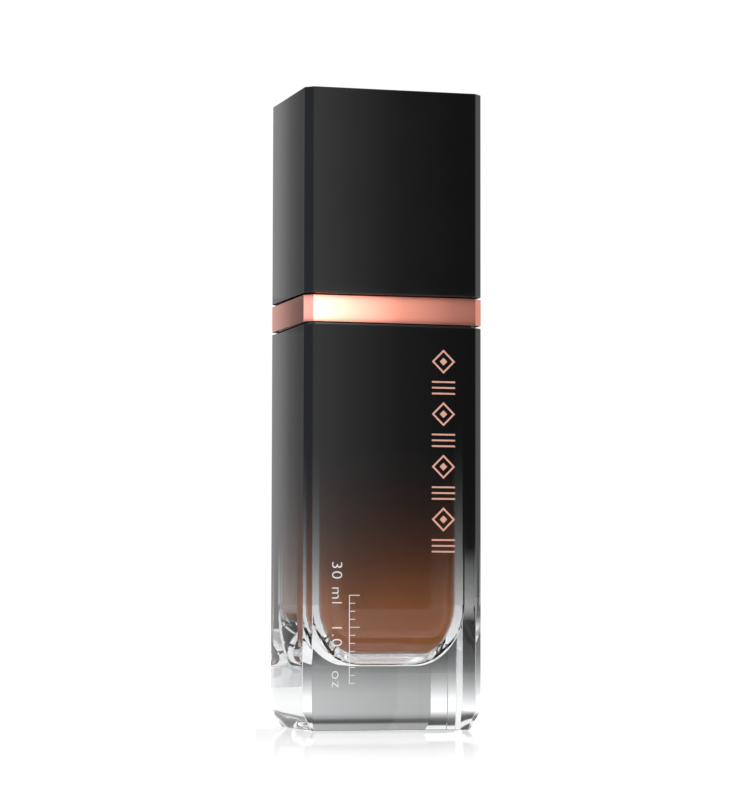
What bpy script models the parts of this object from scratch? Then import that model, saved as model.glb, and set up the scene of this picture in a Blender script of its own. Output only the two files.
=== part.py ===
"""Foundation bottle, 30 ml, with a treatment pump under a pull-off cap.

A clear thick-walled outer shell holds a clear inner bottle with a screw neck.  A plated
shoulder ring closes the joint between them and carries the spigot that the cap pushes
onto.  The pump hangs in the neck, held by a screw closure, and its actuator stands above.

Units are metres, +Z is up, and the origin is the middle of the base.  The front is -Y.
"""

import math

import bmesh
import bpy
from mathutils import Matrix

COLLECTION = "foundation_bottle"
GAP = 0.0003  # between two pieces that seat on each other or pass through each other
THROUGH = 0.0010  # how far a cutter runs past the face that it opens
LEAST_CORNER = 0.0003  # the smallest flat that an inset outline keeps

# Outside of the bottle and the cap, seen from the base up
BODY_WIDTH = 0.0350
BODY_DEPTH = 0.0280
EDGE_CHAMFER = 0.0015  # leg of the flat on each upright edge
FOOT_CHAMFER_HEIGHT = 0.0036
FOOT_CHAMFER_INSET = 0.0020
BODY_HEIGHT = 0.0764
BAND_GROOVE = 0.0005  # shadow gap below the band
BAND_HEIGHT = 0.0050
CAP_GROOVE = 0.0004  # shadow gap above the band
CAP_EDGE_ROUND = 0.0003

# Outer shell
SHELL_SIDE_WALL = 0.0022
SHELL_FRONT_WALL = 0.0025
SHELL_FLOOR = 0.0121
TONGUE_SETBACK = 0.0012  # from the outside of the body to the tongue inside the band
TONGUE_HEIGHT = 0.0018

# Inner bottle
INNER_CORNER = 0.0051
INNER_WALL = 0.0010
INNER_ROUNDING = 0.0115  # height over which the walls turn in to the foot
FOOT_SHARE = 0.40  # flat foot, as a share of the section above it
FLANGE_THICKNESS = 0.0012
FILL_HEADSPACE = 0.0045

# Screw neck and closure
NECK_WALL = 0.0015
NECK_HEIGHT = 0.0124
THREAD_PITCH = 0.0025
THREAD_TURNS = 1.25
THREAD_RIDGE = 0.0008  # height of each ridge over its wall
THREAD_ROOT_WIDTH = 0.0010
THREAD_CREST_WIDTH = 0.0006
THREAD_START = 0.0038  # from the neck's foot to the first ridge
THREAD_BURY = 0.0003  # how far a ridge goes into its wall
CLOSURE_WALL = 0.0011
CLOSURE_TOP = 0.0012
COVER_WALL = 0.0004
COVER_LIP = 0.0040

# Shoulder ring
SPIGOT_WALL = 0.0010
SPIGOT_HEIGHT = 0.0045

# Cap
CAP_WALL = 0.0009
CAP_TOP = 0.0015
LINER_WALL = 0.0009
CAP_HEADROOM = 0.0051  # above the button

# Pump engine
HOUSING_BORE_RADIUS = 0.0037
HOUSING_WALL = 0.0012
HOUSING_CLEARANCE = 0.0009  # round the housing in the bore of the neck
HOUSING_FLANGE = 0.0008
HOUSING_BORE_DEPTH = 0.0220
GASKET_THICKNESS = 0.0008
BALL_RADIUS = 0.0015
BALL_CHAMBER_RADIUS = 0.0021
BALL_CHAMBER_DEPTH = 0.0024
INLET_RADIUS = 0.0011
TAIL_LENGTH = 0.0060
TAIL_WALL = 0.0009
INLET_LENGTH = 0.0012
TUBE_RADIUS = 0.0016
TUBE_WALL = 0.0006
TUBE_FLOOR_GAP = 0.0015
TUBE_SLANT = 0.0016
STEM_RADIUS = 0.0020
STEM_BORE_RADIUS = 0.0010
STEM_FOOT = 0.0008
STEM_FOOT_LEDGE = 0.0010  # how far the foot stands out round the stem
GUIDE_DEPTH = 0.0016
GUIDE_FLANGE = 0.0006
GUIDE_FLANGE_SETBACK = 0.0011  # in from the edge of the housing's flange
GUIDE_COLLAR_WALL = 0.0013
PISTON_LENGTH = 0.0026
PISTON_LIP = 0.00065
PISTON_TAPER = 0.00026  # from a lip to the waist
PISTON_WAIST = 0.0005  # depth of the groove between the two lips
PISTON_SLIP = 0.0008
CORE_SHAFT_RADIUS = 0.0015
CORE_FOOT_MARGIN = 0.0001  # beyond the middle of the spring's wire
CORE_FOOT = 0.0016
CORE_PIN_LENGTH = 0.0040
SPRING_RADIUS = 0.0025
SPRING_WIRE = 0.0005
SPRING_TURNS = 8.0

# Actuator
PRESS_TRAVEL = 0.0040
PRESS_MARGIN = 0.0005  # left under the button at the end of its stroke
ACTUATOR_WALL = 0.0008
ACTUATOR_TOP = 0.0011
ACTUATOR_DISH = 0.0005
ACTUATOR_EDGE = 0.0005  # rounding of the upper edge
HUB_WALL = 0.0011
SOCKET_DEPTH = 0.0042
DECK_THICKNESS = 0.0014
CORE_SKIRT_WALL = 0.0008
CHANNEL_RADIUS = 0.0008
CHANNEL_RISE = 0.0022  # from the stem socket up to the nozzle channel
CHANNEL_COVER = 0.0008  # above the boss round the channel
NOZZLE_RADIUS = 0.0017
NOZZLE_ROOM = 0.0007  # between the nozzle and the inside of the cap
NOZZLE_STANDOUT = 0.0022  # beyond the side of the button
NOZZLE_LENGTH = 0.0046
NOZZLE_EDGE = 0.0003
BOSS_WALL = 0.0010  # round the nozzle

ROUND_STEPS = 40
FINE_STEPS = 28
CORNER_STEPS = 5
ROUNDING_STEPS = 7
SPRING_STEPS = 14
DISH_STEPS = 4
SHADE_ANGLE = 35.0  # edges sharper than this many degrees stay crisp

# Levels that follow from the sizes above
BAND_BOTTOM = BODY_HEIGHT + BAND_GROOVE
BAND_TOP = BAND_BOTTOM + BAND_HEIGHT
CAP_BOTTOM = BAND_TOP + CAP_GROOVE
TONGUE_TOP = BODY_HEIGHT + TONGUE_HEIGHT
FLANGE_BOTTOM = TONGUE_TOP + GAP
FLANGE_TOP = FLANGE_BOTTOM + FLANGE_THICKNESS
RING_DECK_BOTTOM = FLANGE_TOP + GAP
NECK_TOP = FLANGE_TOP + NECK_HEIGHT
GASKET_BOTTOM = NECK_TOP + GAP
GASKET_TOP = GASKET_BOTTOM + GASKET_THICKNESS
HOUSING_FLANGE_BOTTOM = GASKET_TOP + GAP
HOUSING_TOP = HOUSING_FLANGE_BOTTOM + HOUSING_FLANGE
HOUSING_FLOOR = HOUSING_TOP - HOUSING_BORE_DEPTH
GUIDE_FLANGE_BOTTOM = HOUSING_TOP + GAP
GUIDE_FLANGE_TOP = GUIDE_FLANGE_BOTTOM + GUIDE_FLANGE
CLOSURE_BOTTOM = BAND_TOP + GAP
CLOSURE_DECK = GUIDE_FLANGE_TOP + GAP
CLOSURE_TOP_LEVEL = CLOSURE_DECK + CLOSURE_TOP
COVER_DECK = CLOSURE_TOP_LEVEL + GAP
COVER_TOP = COVER_DECK + COVER_WALL
ACTUATOR_BOTTOM = COVER_TOP + PRESS_TRAVEL + PRESS_MARGIN
STEM_TOP = ACTUATOR_BOTTOM + SOCKET_DEPTH - GAP
STEM_FOOT_TOP = HOUSING_TOP - GUIDE_DEPTH - GAP
STEM_BOTTOM = STEM_FOOT_TOP - STEM_FOOT
PISTON_TOP = STEM_BOTTOM - PISTON_SLIP - GAP
PISTON_BOTTOM = PISTON_TOP - PISTON_LENGTH
CORE_FOOT_TOP = PISTON_BOTTOM - GAP
CORE_BOTTOM = CORE_FOOT_TOP - CORE_FOOT
CHANNEL_LEVEL = ACTUATOR_BOTTOM + SOCKET_DEPTH + CHANNEL_RISE
BOSS_RADIUS = NOZZLE_RADIUS + BOSS_WALL
ACTUATOR_DECK_TOP = CHANNEL_LEVEL + BOSS_RADIUS + CHANNEL_COVER
ACTUATOR_ROOF = ACTUATOR_DECK_TOP + GAP
ACTUATOR_TOP_LEVEL = ACTUATOR_ROOF + ACTUATOR_TOP + ACTUATOR_DISH
TOTAL_HEIGHT = ACTUATOR_TOP_LEVEL + CAP_HEADROOM + LINER_WALL + GAP + CAP_TOP

# Sections that follow from the sizes above
CAVITY_WIDTH = BODY_WIDTH - 2 * SHELL_SIDE_WALL
CAVITY_DEPTH = BODY_DEPTH - 2 * SHELL_FRONT_WALL
FLANGE_SETBACK = TONGUE_SETBACK + GAP
INNER_WIDTH = CAVITY_WIDTH - 2 * GAP
INNER_DEPTH = CAVITY_DEPTH - 2 * GAP
HOUSING_RADIUS = HOUSING_BORE_RADIUS + HOUSING_WALL
NECK_BORE_RADIUS = HOUSING_RADIUS + HOUSING_CLEARANCE
NECK_RADIUS = NECK_BORE_RADIUS + NECK_WALL
CREST_RADIUS = NECK_RADIUS + THREAD_RIDGE
CLOSURE_BORE = CREST_RADIUS + GAP
CLOSURE_RADIUS = CLOSURE_BORE + CLOSURE_WALL
COVER_BORE = CLOSURE_RADIUS + GAP
COVER_RADIUS = COVER_BORE + COVER_WALL
TAIL_BORE = TUBE_RADIUS + GAP
TAIL_RADIUS = TAIL_BORE + TAIL_WALL
PISTON_RADIUS = HOUSING_BORE_RADIUS - GAP
STEM_FOOT_RADIUS = STEM_RADIUS + STEM_FOOT_LEDGE
GUIDE_BORE = STEM_RADIUS + GAP
GUIDE_COLLAR = GUIDE_BORE + GUIDE_COLLAR_WALL
GUIDE_FLANGE_RADIUS = NECK_RADIUS - GUIDE_FLANGE_SETBACK
CORE_FOOT_RADIUS = SPRING_RADIUS + CORE_FOOT_MARGIN
HUB_RADIUS = STEM_RADIUS + GAP + HUB_WALL
LINER_SETBACK = CAP_WALL + GAP
SPIGOT_SETBACK = LINER_SETBACK + LINER_WALL + GAP
NOZZLE_REACH = BODY_DEPTH / 2 - LINER_SETBACK - LINER_WALL - NOZZLE_ROOM
ACTUATOR_RADIUS = NOZZLE_REACH - NOZZLE_STANDOUT


def clear_scene():
    """Remove whatever the file holds."""
    for old in list(bpy.data.objects):
        bpy.data.objects.remove(old, do_unlink=True)


def new_collection(name):
    """A collection linked to the scene."""
    made = bpy.data.collections.new(name)
    bpy.context.scene.collection.children.link(made)
    return made


def new_material(name, colour, roughness, metallic=0.0, transmission=0.0):
    """A Principled material in the piece's own colour."""
    made = bpy.data.materials.new(name)
    made.use_nodes = True
    shader = made.node_tree.nodes["Principled BSDF"]
    shader.inputs["Base Color"].default_value = (*colour, 1.0)
    shader.inputs["Roughness"].default_value = roughness
    shader.inputs["Metallic"].default_value = metallic
    shader.inputs["Transmission Weight"].default_value = transmission
    made.diffuse_color = (*colour, 1.0)
    return made


def place(name, mesh, collection, material=None):
    """An object around a mesh, in one collection."""
    made = bpy.data.objects.new(name, mesh)
    collection.objects.link(made)
    if material is not None:
        mesh.materials.append(material)
    return made


def finish_mesh(name, bm, smooth=True):
    """A mesh from a bmesh, smooth except at its corners."""
    mesh = bpy.data.meshes.new(name)
    bm.to_mesh(mesh)
    bm.free()
    if smooth:
        mesh.shade_smooth()
        mesh.set_sharp_from_angle(angle=math.radians(SHADE_ANGLE))
    return mesh


def inset_corner(corner, setback):
    """The corner flat of an outline that lies a setback inside another."""
    return max(corner - setback * (2 - math.sqrt(2)), LEAST_CORNER)


def prism(width, depth, corner, bottom, top, corner_steps=1):
    """An upright block with flats (one step) or rounds on its upright edges."""
    bm = bmesh.new()
    bmesh.ops.create_cube(bm, size=1.0)
    bmesh.ops.scale(bm, vec=(width, depth, top - bottom), verts=bm.verts)
    bmesh.ops.translate(bm, vec=(0, 0, (top + bottom) / 2), verts=bm.verts)
    middle = (top + bottom) / 2
    upright = []
    for edge in bm.edges:
        low, high = sorted(vert.co.z for vert in edge.verts)
        if low < middle < high:
            upright.append(edge)
    bmesh.ops.bevel(bm, geom=upright, offset=corner, segments=corner_steps,
                    affect="EDGES", profile=0.5, material=-1)
    return bm


def end_face(bm, direction):
    """The flat end of a prism: +1 is the top one, -1 the bottom one."""
    return max(bm.faces, key=lambda face: direction * face.calc_center_median().z
               + face.normal.z * direction)


def step_face(bm, direction, setback, height):
    """Draw an end of a prism in by a setback and raise it by a height."""
    face = end_face(bm, direction)
    bmesh.ops.inset_region(bm, faces=[face], thickness=setback, use_even_offset=True)
    made = bmesh.ops.extrude_face_region(bm, geom=[face])
    moved = [item for item in made["geom"] if isinstance(item, bmesh.types.BMVert)]
    bmesh.ops.translate(bm, vec=(0, 0, direction * height), verts=moved)
    if face.is_valid:
        bmesh.ops.delete(bm, geom=[face], context="FACES_ONLY")


def body_prism(setback, bottom, top):
    """A block with the body's outline, drawn in by a setback."""
    return prism(BODY_WIDTH - 2 * setback, BODY_DEPTH - 2 * setback,
                 inset_corner(EDGE_CHAMFER, setback), bottom, top)


def tub(width, depth, corner, floor, rounding, top):
    """A rounded block whose walls turn in to a small flat foot."""
    bm = prism(width, depth, corner, floor + rounding, top, CORNER_STEPS)
    lower = end_face(bm, -1)
    last_share = 1.0
    last_drop = 0.0
    for step in range(1, ROUNDING_STEPS + 1):
        angle = math.radians(90) * step / ROUNDING_STEPS
        share = 1 - (1 - FOOT_SHARE) * (1 - math.cos(angle))
        drop = rounding * math.sin(angle)
        made = bmesh.ops.extrude_face_region(bm, geom=[lower])
        if lower.is_valid:
            bmesh.ops.delete(bm, geom=[lower], context="FACES_ONLY")
        ring = [item for item in made["geom"] if isinstance(item, bmesh.types.BMVert)]
        lower = [item for item in made["geom"] if isinstance(item, bmesh.types.BMFace)][0]
        factor = share / last_share
        bmesh.ops.scale(bm, vec=(factor, factor, 1), verts=ring)
        bmesh.ops.translate(bm, vec=(0, 0, last_drop - drop), verts=ring)
        last_share = share
        last_drop = drop
    bmesh.ops.recalc_face_normals(bm, faces=bm.faces)
    return bm


def turned(name, profile, collection, material=None, steps=ROUND_STEPS):
    """A profile of (radius, height) points turned round the Z axis.

    The points run down the outer side.  A profile that starts and ends on the axis is
    left open there, and any other is closed into a ring.
    """
    mesh = bpy.data.meshes.new(name)
    points = [(radius, 0.0, height) for radius, height in profile]
    edges = [(index, index + 1) for index in range(len(points) - 1)]
    on_axis = profile[0][0] == 0.0 and profile[-1][0] == 0.0
    if not on_axis:
        edges.append((len(points) - 1, 0))
    mesh.from_pydata(points, edges, [])
    made = place(name, mesh, collection, material)
    screw = made.modifiers.new("turn", "SCREW")
    screw.axis = "Z"
    screw.angle = math.radians(360)
    screw.steps = steps
    screw.render_steps = steps
    screw.use_merge_vertices = True
    screw.merge_threshold = 0.00001
    screw.use_smooth_shade = True
    return made


def rod(radius, bottom, top):
    """The profile of a plain rod."""
    return [(0.0, top), (radius, top), (radius, bottom), (0.0, bottom)]


def thread_ridge(name, wall_radius, outward, start, turns, collection):
    """A helical ridge on a round wall, sunk a little into it so that it joins."""
    bm = bmesh.new()
    foot = wall_radius - outward * THREAD_BURY
    crest = wall_radius + outward * THREAD_RIDGE
    corners = [(foot, -THREAD_ROOT_WIDTH / 2), (crest, -THREAD_CREST_WIDTH / 2),
               (crest, THREAD_CREST_WIDTH / 2), (foot, THREAD_ROOT_WIDTH / 2)]
    verts = [bm.verts.new((radius, 0.0, start + height)) for radius, height in corners]
    face = bm.faces.new(verts)
    steps = round(ROUND_STEPS * turns)
    bmesh.ops.spin(bm, geom=[face, *face.edges, *face.verts], cent=(0, 0, 0),
                   axis=(0, 0, 1), dvec=(0, 0, THREAD_PITCH * turns / steps),
                   angle=math.radians(360) * turns, steps=steps)
    bmesh.ops.remove_doubles(bm, verts=bm.verts, dist=0.00001)
    bmesh.ops.recalc_face_normals(bm, faces=bm.faces)
    return place(name, finish_mesh(name, bm, smooth=False), collection)


def boolean(target, other, operation):
    """Join, cut or trim a piece with a helper solid."""
    step = target.modifiers.new(other.name, "BOOLEAN")
    step.operation = operation
    step.solver = "EXACT"
    step.object = other
    other.hide_render = True
    other.display_type = "WIRE"


class Kit:
    """The collections and materials that the pieces share."""

    def __init__(self):
        self.parts = new_collection(COLLECTION)
        self.cutters = new_collection("cutters")
        self.clear = new_material("clear_acrylic", (0.80, 0.81, 0.83), 0.03, 0.0, 0.9)
        self.inner = new_material("clear_inner_plastic", (0.75, 0.76, 0.79), 0.05, 0.0, 0.8)
        self.fill = new_material("liquid_foundation", (0.30, 0.115, 0.06), 0.30)
        self.plated = new_material("rose_gold_plating", (0.80, 0.42, 0.32), 0.12, 1.0)
        self.black = new_material("gloss_black_plastic", (0.012, 0.012, 0.014), 0.10)
        self.liner = new_material("liner_plastic", (0.03, 0.03, 0.032), 0.45)
        self.moulded = new_material("white_moulded_plastic", (0.72, 0.72, 0.70), 0.40)
        self.natural = new_material("natural_plastic", (0.62, 0.63, 0.62), 0.35)
        self.rubber = new_material("seal_foam", (0.55, 0.55, 0.53), 0.80)
        self.steel = new_material("stainless_steel", (0.60, 0.60, 0.62), 0.18, 1.0)

    def helper(self, name, bm):
        """A solid used only to join or cut."""
        return place(name, finish_mesh(name, bm, smooth=False), self.cutters)

    def turned_helper(self, name, profile, steps=ROUND_STEPS):
        """A turned solid used only to join or cut."""
        return turned(name, profile, self.cutters, None, steps)


def make_outer_shell(kit):
    """Clear shell: solid foot, chamfered outside, tongue that goes up inside the band."""
    bm = body_prism(0.0, FOOT_CHAMFER_HEIGHT, BODY_HEIGHT)
    foot = end_face(bm, -1)
    bmesh.ops.inset_region(bm, faces=[foot], thickness=FOOT_CHAMFER_INSET,
                           depth=FOOT_CHAMFER_HEIGHT, use_even_offset=True)
    step_face(bm, 1, TONGUE_SETBACK, TONGUE_HEIGHT)
    shell = place("outer_shell", finish_mesh("outer_shell", bm, False), kit.parts, kit.clear)
    cavity = tub(CAVITY_WIDTH, CAVITY_DEPTH, INNER_CORNER + GAP, SHELL_FLOOR,
                 INNER_ROUNDING + GAP, TONGUE_TOP + THROUGH)
    boolean(shell, kit.helper("shell_cavity", cavity), "DIFFERENCE")


def make_inner_bottle(kit):
    """Clear inner bottle: rounded walls, resting flange and screw neck."""
    floor = SHELL_FLOOR + GAP
    bm = tub(INNER_WIDTH, INNER_DEPTH, INNER_CORNER, floor, INNER_ROUNDING,
             FLANGE_TOP - FLANGE_THICKNESS / 3)
    bottle = place("inner_bottle", finish_mesh("inner_bottle", bm), kit.parts, kit.inner)
    flange = prism(BODY_WIDTH - 2 * FLANGE_SETBACK, BODY_DEPTH - 2 * FLANGE_SETBACK,
                   INNER_CORNER, FLANGE_BOTTOM, FLANGE_TOP, CORNER_STEPS)
    boolean(bottle, kit.helper("bottle_flange", flange), "UNION")
    neck = rod(NECK_RADIUS, FLANGE_BOTTOM + FLANGE_THICKNESS / 2, NECK_TOP)
    boolean(bottle, kit.turned_helper("neck_outside", neck), "UNION")
    ridge = thread_ridge("neck_thread", NECK_RADIUS, 1, FLANGE_TOP + THREAD_START,
                         THREAD_TURNS, kit.cutters)
    boolean(bottle, ridge, "UNION")
    space = tub(INNER_WIDTH - 2 * INNER_WALL, INNER_DEPTH - 2 * INNER_WALL,
                INNER_CORNER - INNER_WALL, floor + INNER_WALL,
                INNER_ROUNDING - INNER_WALL, FLANGE_TOP - INNER_WALL)
    boolean(bottle, kit.helper("bottle_space", space), "DIFFERENCE")
    bore = rod(NECK_BORE_RADIUS, FLANGE_BOTTOM - THROUGH, NECK_TOP + THROUGH)
    boolean(bottle, kit.turned_helper("neck_bore", bore), "DIFFERENCE")


def make_foundation_fill(kit):
    """The liquid, as a solid that stands clear of the walls, the pump and its tube."""
    inset = INNER_WALL + GAP
    floor = SHELL_FLOOR + GAP + inset
    level = FLANGE_TOP - INNER_WALL - FILL_HEADSPACE
    bm = tub(INNER_WIDTH - 2 * inset, INNER_DEPTH - 2 * inset, INNER_CORNER - inset,
             floor, INNER_ROUNDING - inset, level)
    fill = place("foundation_fill", finish_mesh("foundation_fill", bm), kit.parts, kit.fill)
    tail_top = HOUSING_FLOOR - BALL_CHAMBER_DEPTH
    tail_bottom = tail_top - TAIL_LENGTH
    around = [(0.0, level + THROUGH), (HOUSING_RADIUS + GAP, level + THROUGH),
              (HOUSING_RADIUS + GAP, tail_top - GAP), (TAIL_RADIUS + GAP, tail_top - GAP),
              (TAIL_RADIUS + GAP, tail_bottom - GAP), (TUBE_RADIUS + GAP, tail_bottom - GAP),
              (TUBE_RADIUS + GAP, floor + TUBE_FLOOR_GAP / 2), (0.0, floor + TUBE_FLOOR_GAP / 2)]
    boolean(fill, kit.turned_helper("pump_space", around), "DIFFERENCE")


def make_shoulder_ring(kit):
    """Plated band with a pocket for the tongue, a deck and the spigot for the cap."""
    bm = body_prism(0.0, BAND_BOTTOM, BAND_TOP)
    step_face(bm, 1, SPIGOT_SETBACK, SPIGOT_HEIGHT)
    ring = place("shoulder_ring", finish_mesh("shoulder_ring", bm, False), kit.parts, kit.plated)
    pocket = body_prism(TONGUE_SETBACK - GAP, BAND_BOTTOM - THROUGH, RING_DECK_BOTTOM)
    boolean(ring, kit.helper("ring_pocket", pocket), "DIFFERENCE")
    inside = body_prism(SPIGOT_SETBACK + SPIGOT_WALL, BAND_TOP,
                        BAND_TOP + SPIGOT_HEIGHT + THROUGH)
    boolean(ring, kit.helper("spigot_inside", inside), "DIFFERENCE")
    room = rod(COVER_RADIUS + GAP, BAND_TOP, BAND_TOP + SPIGOT_HEIGHT + THROUGH)
    boolean(ring, kit.turned_helper("cover_room", room), "DIFFERENCE")
    hole = rod(CREST_RADIUS + GAP, RING_DECK_BOTTOM - THROUGH, BAND_TOP + THROUGH)
    boolean(ring, kit.turned_helper("ring_hole", hole), "DIFFERENCE")


def make_closure(kit):
    """Screw closure that holds the pump down on the neck."""
    hole = GUIDE_COLLAR + GAP
    profile = [(hole, CLOSURE_TOP_LEVEL), (CLOSURE_RADIUS, CLOSURE_TOP_LEVEL),
               (CLOSURE_RADIUS, CLOSURE_BOTTOM), (CLOSURE_BORE, CLOSURE_BOTTOM),
               (CLOSURE_BORE, CLOSURE_DECK), (hole, CLOSURE_DECK)]
    closure = turned("closure", profile, kit.parts, kit.moulded)
    start = FLANGE_TOP + THREAD_START + THREAD_PITCH / 2
    ridge = thread_ridge("closure_thread", CLOSURE_BORE, -1, start, THREAD_TURNS, kit.cutters)
    boolean(closure, ridge, "UNION")


def make_closure_cover(kit):
    """Thin plated sleeve over the closure, with a lip on its top."""
    lip = COVER_RADIUS - COVER_LIP
    profile = [(lip, COVER_TOP), (COVER_RADIUS, COVER_TOP), (COVER_RADIUS, CLOSURE_BOTTOM),
               (COVER_BORE, CLOSURE_BOTTOM), (COVER_BORE, COVER_DECK), (lip, COVER_DECK)]
    turned("closure_cover", profile, kit.parts, kit.plated)


def make_neck_gasket(kit):
    """Flat seal between the neck and the pump's flange."""
    inside = HOUSING_RADIUS + GAP
    profile = [(inside, GASKET_TOP), (NECK_RADIUS, GASKET_TOP), (NECK_RADIUS, GASKET_BOTTOM),
               (inside, GASKET_BOTTOM)]
    turned("neck_gasket", profile, kit.parts, kit.rubber)


def make_pump_housing(kit):
    """Pump cylinder: flange, bore, spring ledge, ball seat and the socket for the tube."""
    seat_top = HOUSING_FLOOR - BALL_CHAMBER_DEPTH
    seat_bottom = seat_top - (BALL_CHAMBER_RADIUS - INLET_RADIUS)
    socket_top = seat_bottom - INLET_LENGTH
    tail_bottom = seat_top - TAIL_LENGTH
    profile = [(NECK_RADIUS, HOUSING_TOP), (NECK_RADIUS, HOUSING_FLANGE_BOTTOM),
               (HOUSING_RADIUS, HOUSING_FLANGE_BOTTOM), (HOUSING_RADIUS, seat_top),
               (TAIL_RADIUS, seat_top), (TAIL_RADIUS, tail_bottom), (TAIL_BORE, tail_bottom),
               (TAIL_BORE, socket_top), (INLET_RADIUS, socket_top),
               (INLET_RADIUS, seat_bottom), (BALL_CHAMBER_RADIUS, seat_top),
               (BALL_CHAMBER_RADIUS, HOUSING_FLOOR), (HOUSING_BORE_RADIUS, HOUSING_FLOOR),
               (HOUSING_BORE_RADIUS, HOUSING_TOP)]
    turned("pump_housing", profile, kit.parts, kit.natural)
    make_dip_tube(kit, socket_top - GAP)
    make_inlet_ball(kit, seat_bottom)


def make_dip_tube(kit, top):
    """Dip tube, cut on a slant at its foot so that the floor can't close it."""
    bottom = SHELL_FLOOR + 2 * GAP + INNER_WALL + TUBE_FLOOR_GAP
    bore = TUBE_RADIUS - TUBE_WALL
    profile = [(TUBE_RADIUS, top), (TUBE_RADIUS, bottom), (bore, bottom), (bore, top)]
    tube = turned("dip_tube", profile, kit.parts, kit.natural, FINE_STEPS)
    bm = bmesh.new()
    bmesh.ops.create_cube(bm, size=1.0)
    side = 6 * TUBE_RADIUS
    bmesh.ops.scale(bm, vec=(side, side, side), verts=bm.verts)
    bmesh.ops.translate(bm, vec=(0, 0, -side / 2), verts=bm.verts)
    slope = math.atan2(TUBE_SLANT, 2 * TUBE_RADIUS)
    bmesh.ops.rotate(bm, cent=(0, 0, 0), matrix=Matrix.Rotation(slope, 3, "Y"), verts=bm.verts)
    bmesh.ops.translate(bm, vec=(0, 0, bottom + TUBE_SLANT / 2), verts=bm.verts)
    boolean(tube, kit.helper("tube_slant", bm), "DIFFERENCE")


def make_inlet_ball(kit, seat_bottom):
    """Steel ball that closes the inlet, resting on the seat's 45 degree cone."""
    rest = (BALL_RADIUS + GAP) * math.sqrt(2) - INLET_RADIUS
    bm = bmesh.new()
    bmesh.ops.create_uvsphere(bm, u_segments=20, v_segments=12, radius=BALL_RADIUS)
    ball = place("inlet_ball", finish_mesh("inlet_ball", bm), kit.parts, kit.steel)
    ball.location.z = seat_bottom + rest


def make_stem_guide(kit):
    """Guide bush clipped in the top of the housing, which keeps the stem in."""
    outside = HOUSING_BORE_RADIUS - GAP
    collar_top = CLOSURE_TOP_LEVEL
    profile = [(GUIDE_COLLAR, collar_top), (GUIDE_COLLAR, GUIDE_FLANGE_TOP),
               (GUIDE_FLANGE_RADIUS, GUIDE_FLANGE_TOP),
               (GUIDE_FLANGE_RADIUS, GUIDE_FLANGE_BOTTOM), (outside, GUIDE_FLANGE_BOTTOM),
               (outside, HOUSING_TOP - GUIDE_DEPTH), (GUIDE_BORE, HOUSING_TOP - GUIDE_DEPTH),
               (GUIDE_BORE, collar_top)]
    turned("stem_guide", profile, kit.parts, kit.moulded)


def make_stem(kit):
    """Hollow stem with a foot that stops under the guide."""
    profile = [(STEM_RADIUS, STEM_TOP), (STEM_RADIUS, STEM_FOOT_TOP),
               (STEM_FOOT_RADIUS, STEM_FOOT_TOP), (STEM_FOOT_RADIUS, STEM_BOTTOM),
               (STEM_BORE_RADIUS, STEM_BOTTOM), (STEM_BORE_RADIUS, STEM_TOP)]
    turned("stem", profile, kit.parts, kit.natural, FINE_STEPS)


def make_plunger_core(kit):
    """Core pinned up into the stem: the piston slides on it and seals on its foot."""
    pin = STEM_BORE_RADIUS - GAP
    shaft_top = STEM_BOTTOM - GAP
    profile = [(0.0, shaft_top + CORE_PIN_LENGTH), (pin, shaft_top + CORE_PIN_LENGTH),
               (pin, shaft_top), (CORE_SHAFT_RADIUS, shaft_top),
               (CORE_SHAFT_RADIUS, CORE_FOOT_TOP), (CORE_FOOT_RADIUS, CORE_FOOT_TOP),
               (CORE_FOOT_RADIUS, CORE_BOTTOM), (0.0, CORE_BOTTOM)]
    turned("plunger_core", profile, kit.parts, kit.moulded, FINE_STEPS)


def make_piston(kit):
    """Piston with a thin lip at each end and a waist between them."""
    bore = CORE_SHAFT_RADIUS + GAP
    waist = PISTON_RADIUS - PISTON_WAIST
    groove = PISTON_LIP + PISTON_TAPER
    profile = [(PISTON_RADIUS, PISTON_TOP), (PISTON_RADIUS, PISTON_TOP - PISTON_LIP),
               (waist, PISTON_TOP - groove), (waist, PISTON_BOTTOM + groove),
               (PISTON_RADIUS, PISTON_BOTTOM + PISTON_LIP), (PISTON_RADIUS, PISTON_BOTTOM),
               (bore, PISTON_BOTTOM), (bore, PISTON_TOP)]
    turned("piston", profile, kit.parts, kit.natural, FINE_STEPS)


def make_return_spring(kit):
    """Compression spring between the housing's ledge and the plunger's foot."""
    bottom = HOUSING_FLOOR + GAP + SPRING_WIRE / 2
    top = CORE_BOTTOM - GAP - SPRING_WIRE / 2
    curve = bpy.data.curves.new("return_spring", "CURVE")
    curve.dimensions = "3D"
    curve.bevel_depth = SPRING_WIRE / 2
    curve.bevel_resolution = 2
    curve.use_fill_caps = True
    spline = curve.splines.new("POLY")
    count = round(SPRING_TURNS * SPRING_STEPS)
    spline.points.add(count)
    for index in range(count + 1):
        share = index / count
        angle = math.radians(360) * SPRING_TURNS * share
        height = bottom + (top - bottom) * share
        spline.points[index].co = (SPRING_RADIUS * math.cos(angle),
                                   SPRING_RADIUS * math.sin(angle), height, 1.0)
    curve.materials.append(kit.steel)
    spring = bpy.data.objects.new("return_spring", curve)
    kit.parts.objects.link(spring)


def sideways_rod(kit, name, radius, near, far, level, steps=FINE_STEPS):
    """A helper rod that runs towards the front at one level."""
    bm = bmesh.new()
    bmesh.ops.create_cone(bm, cap_ends=True, segments=steps, radius1=radius, radius2=radius,
                          depth=far - near)
    bmesh.ops.rotate(bm, cent=(0, 0, 0), matrix=Matrix.Rotation(math.radians(90), 3, "X"),
                     verts=bm.verts)
    bmesh.ops.translate(bm, vec=(0, -(near + far) / 2, level), verts=bm.verts)
    return kit.helper(name, bm)


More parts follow.
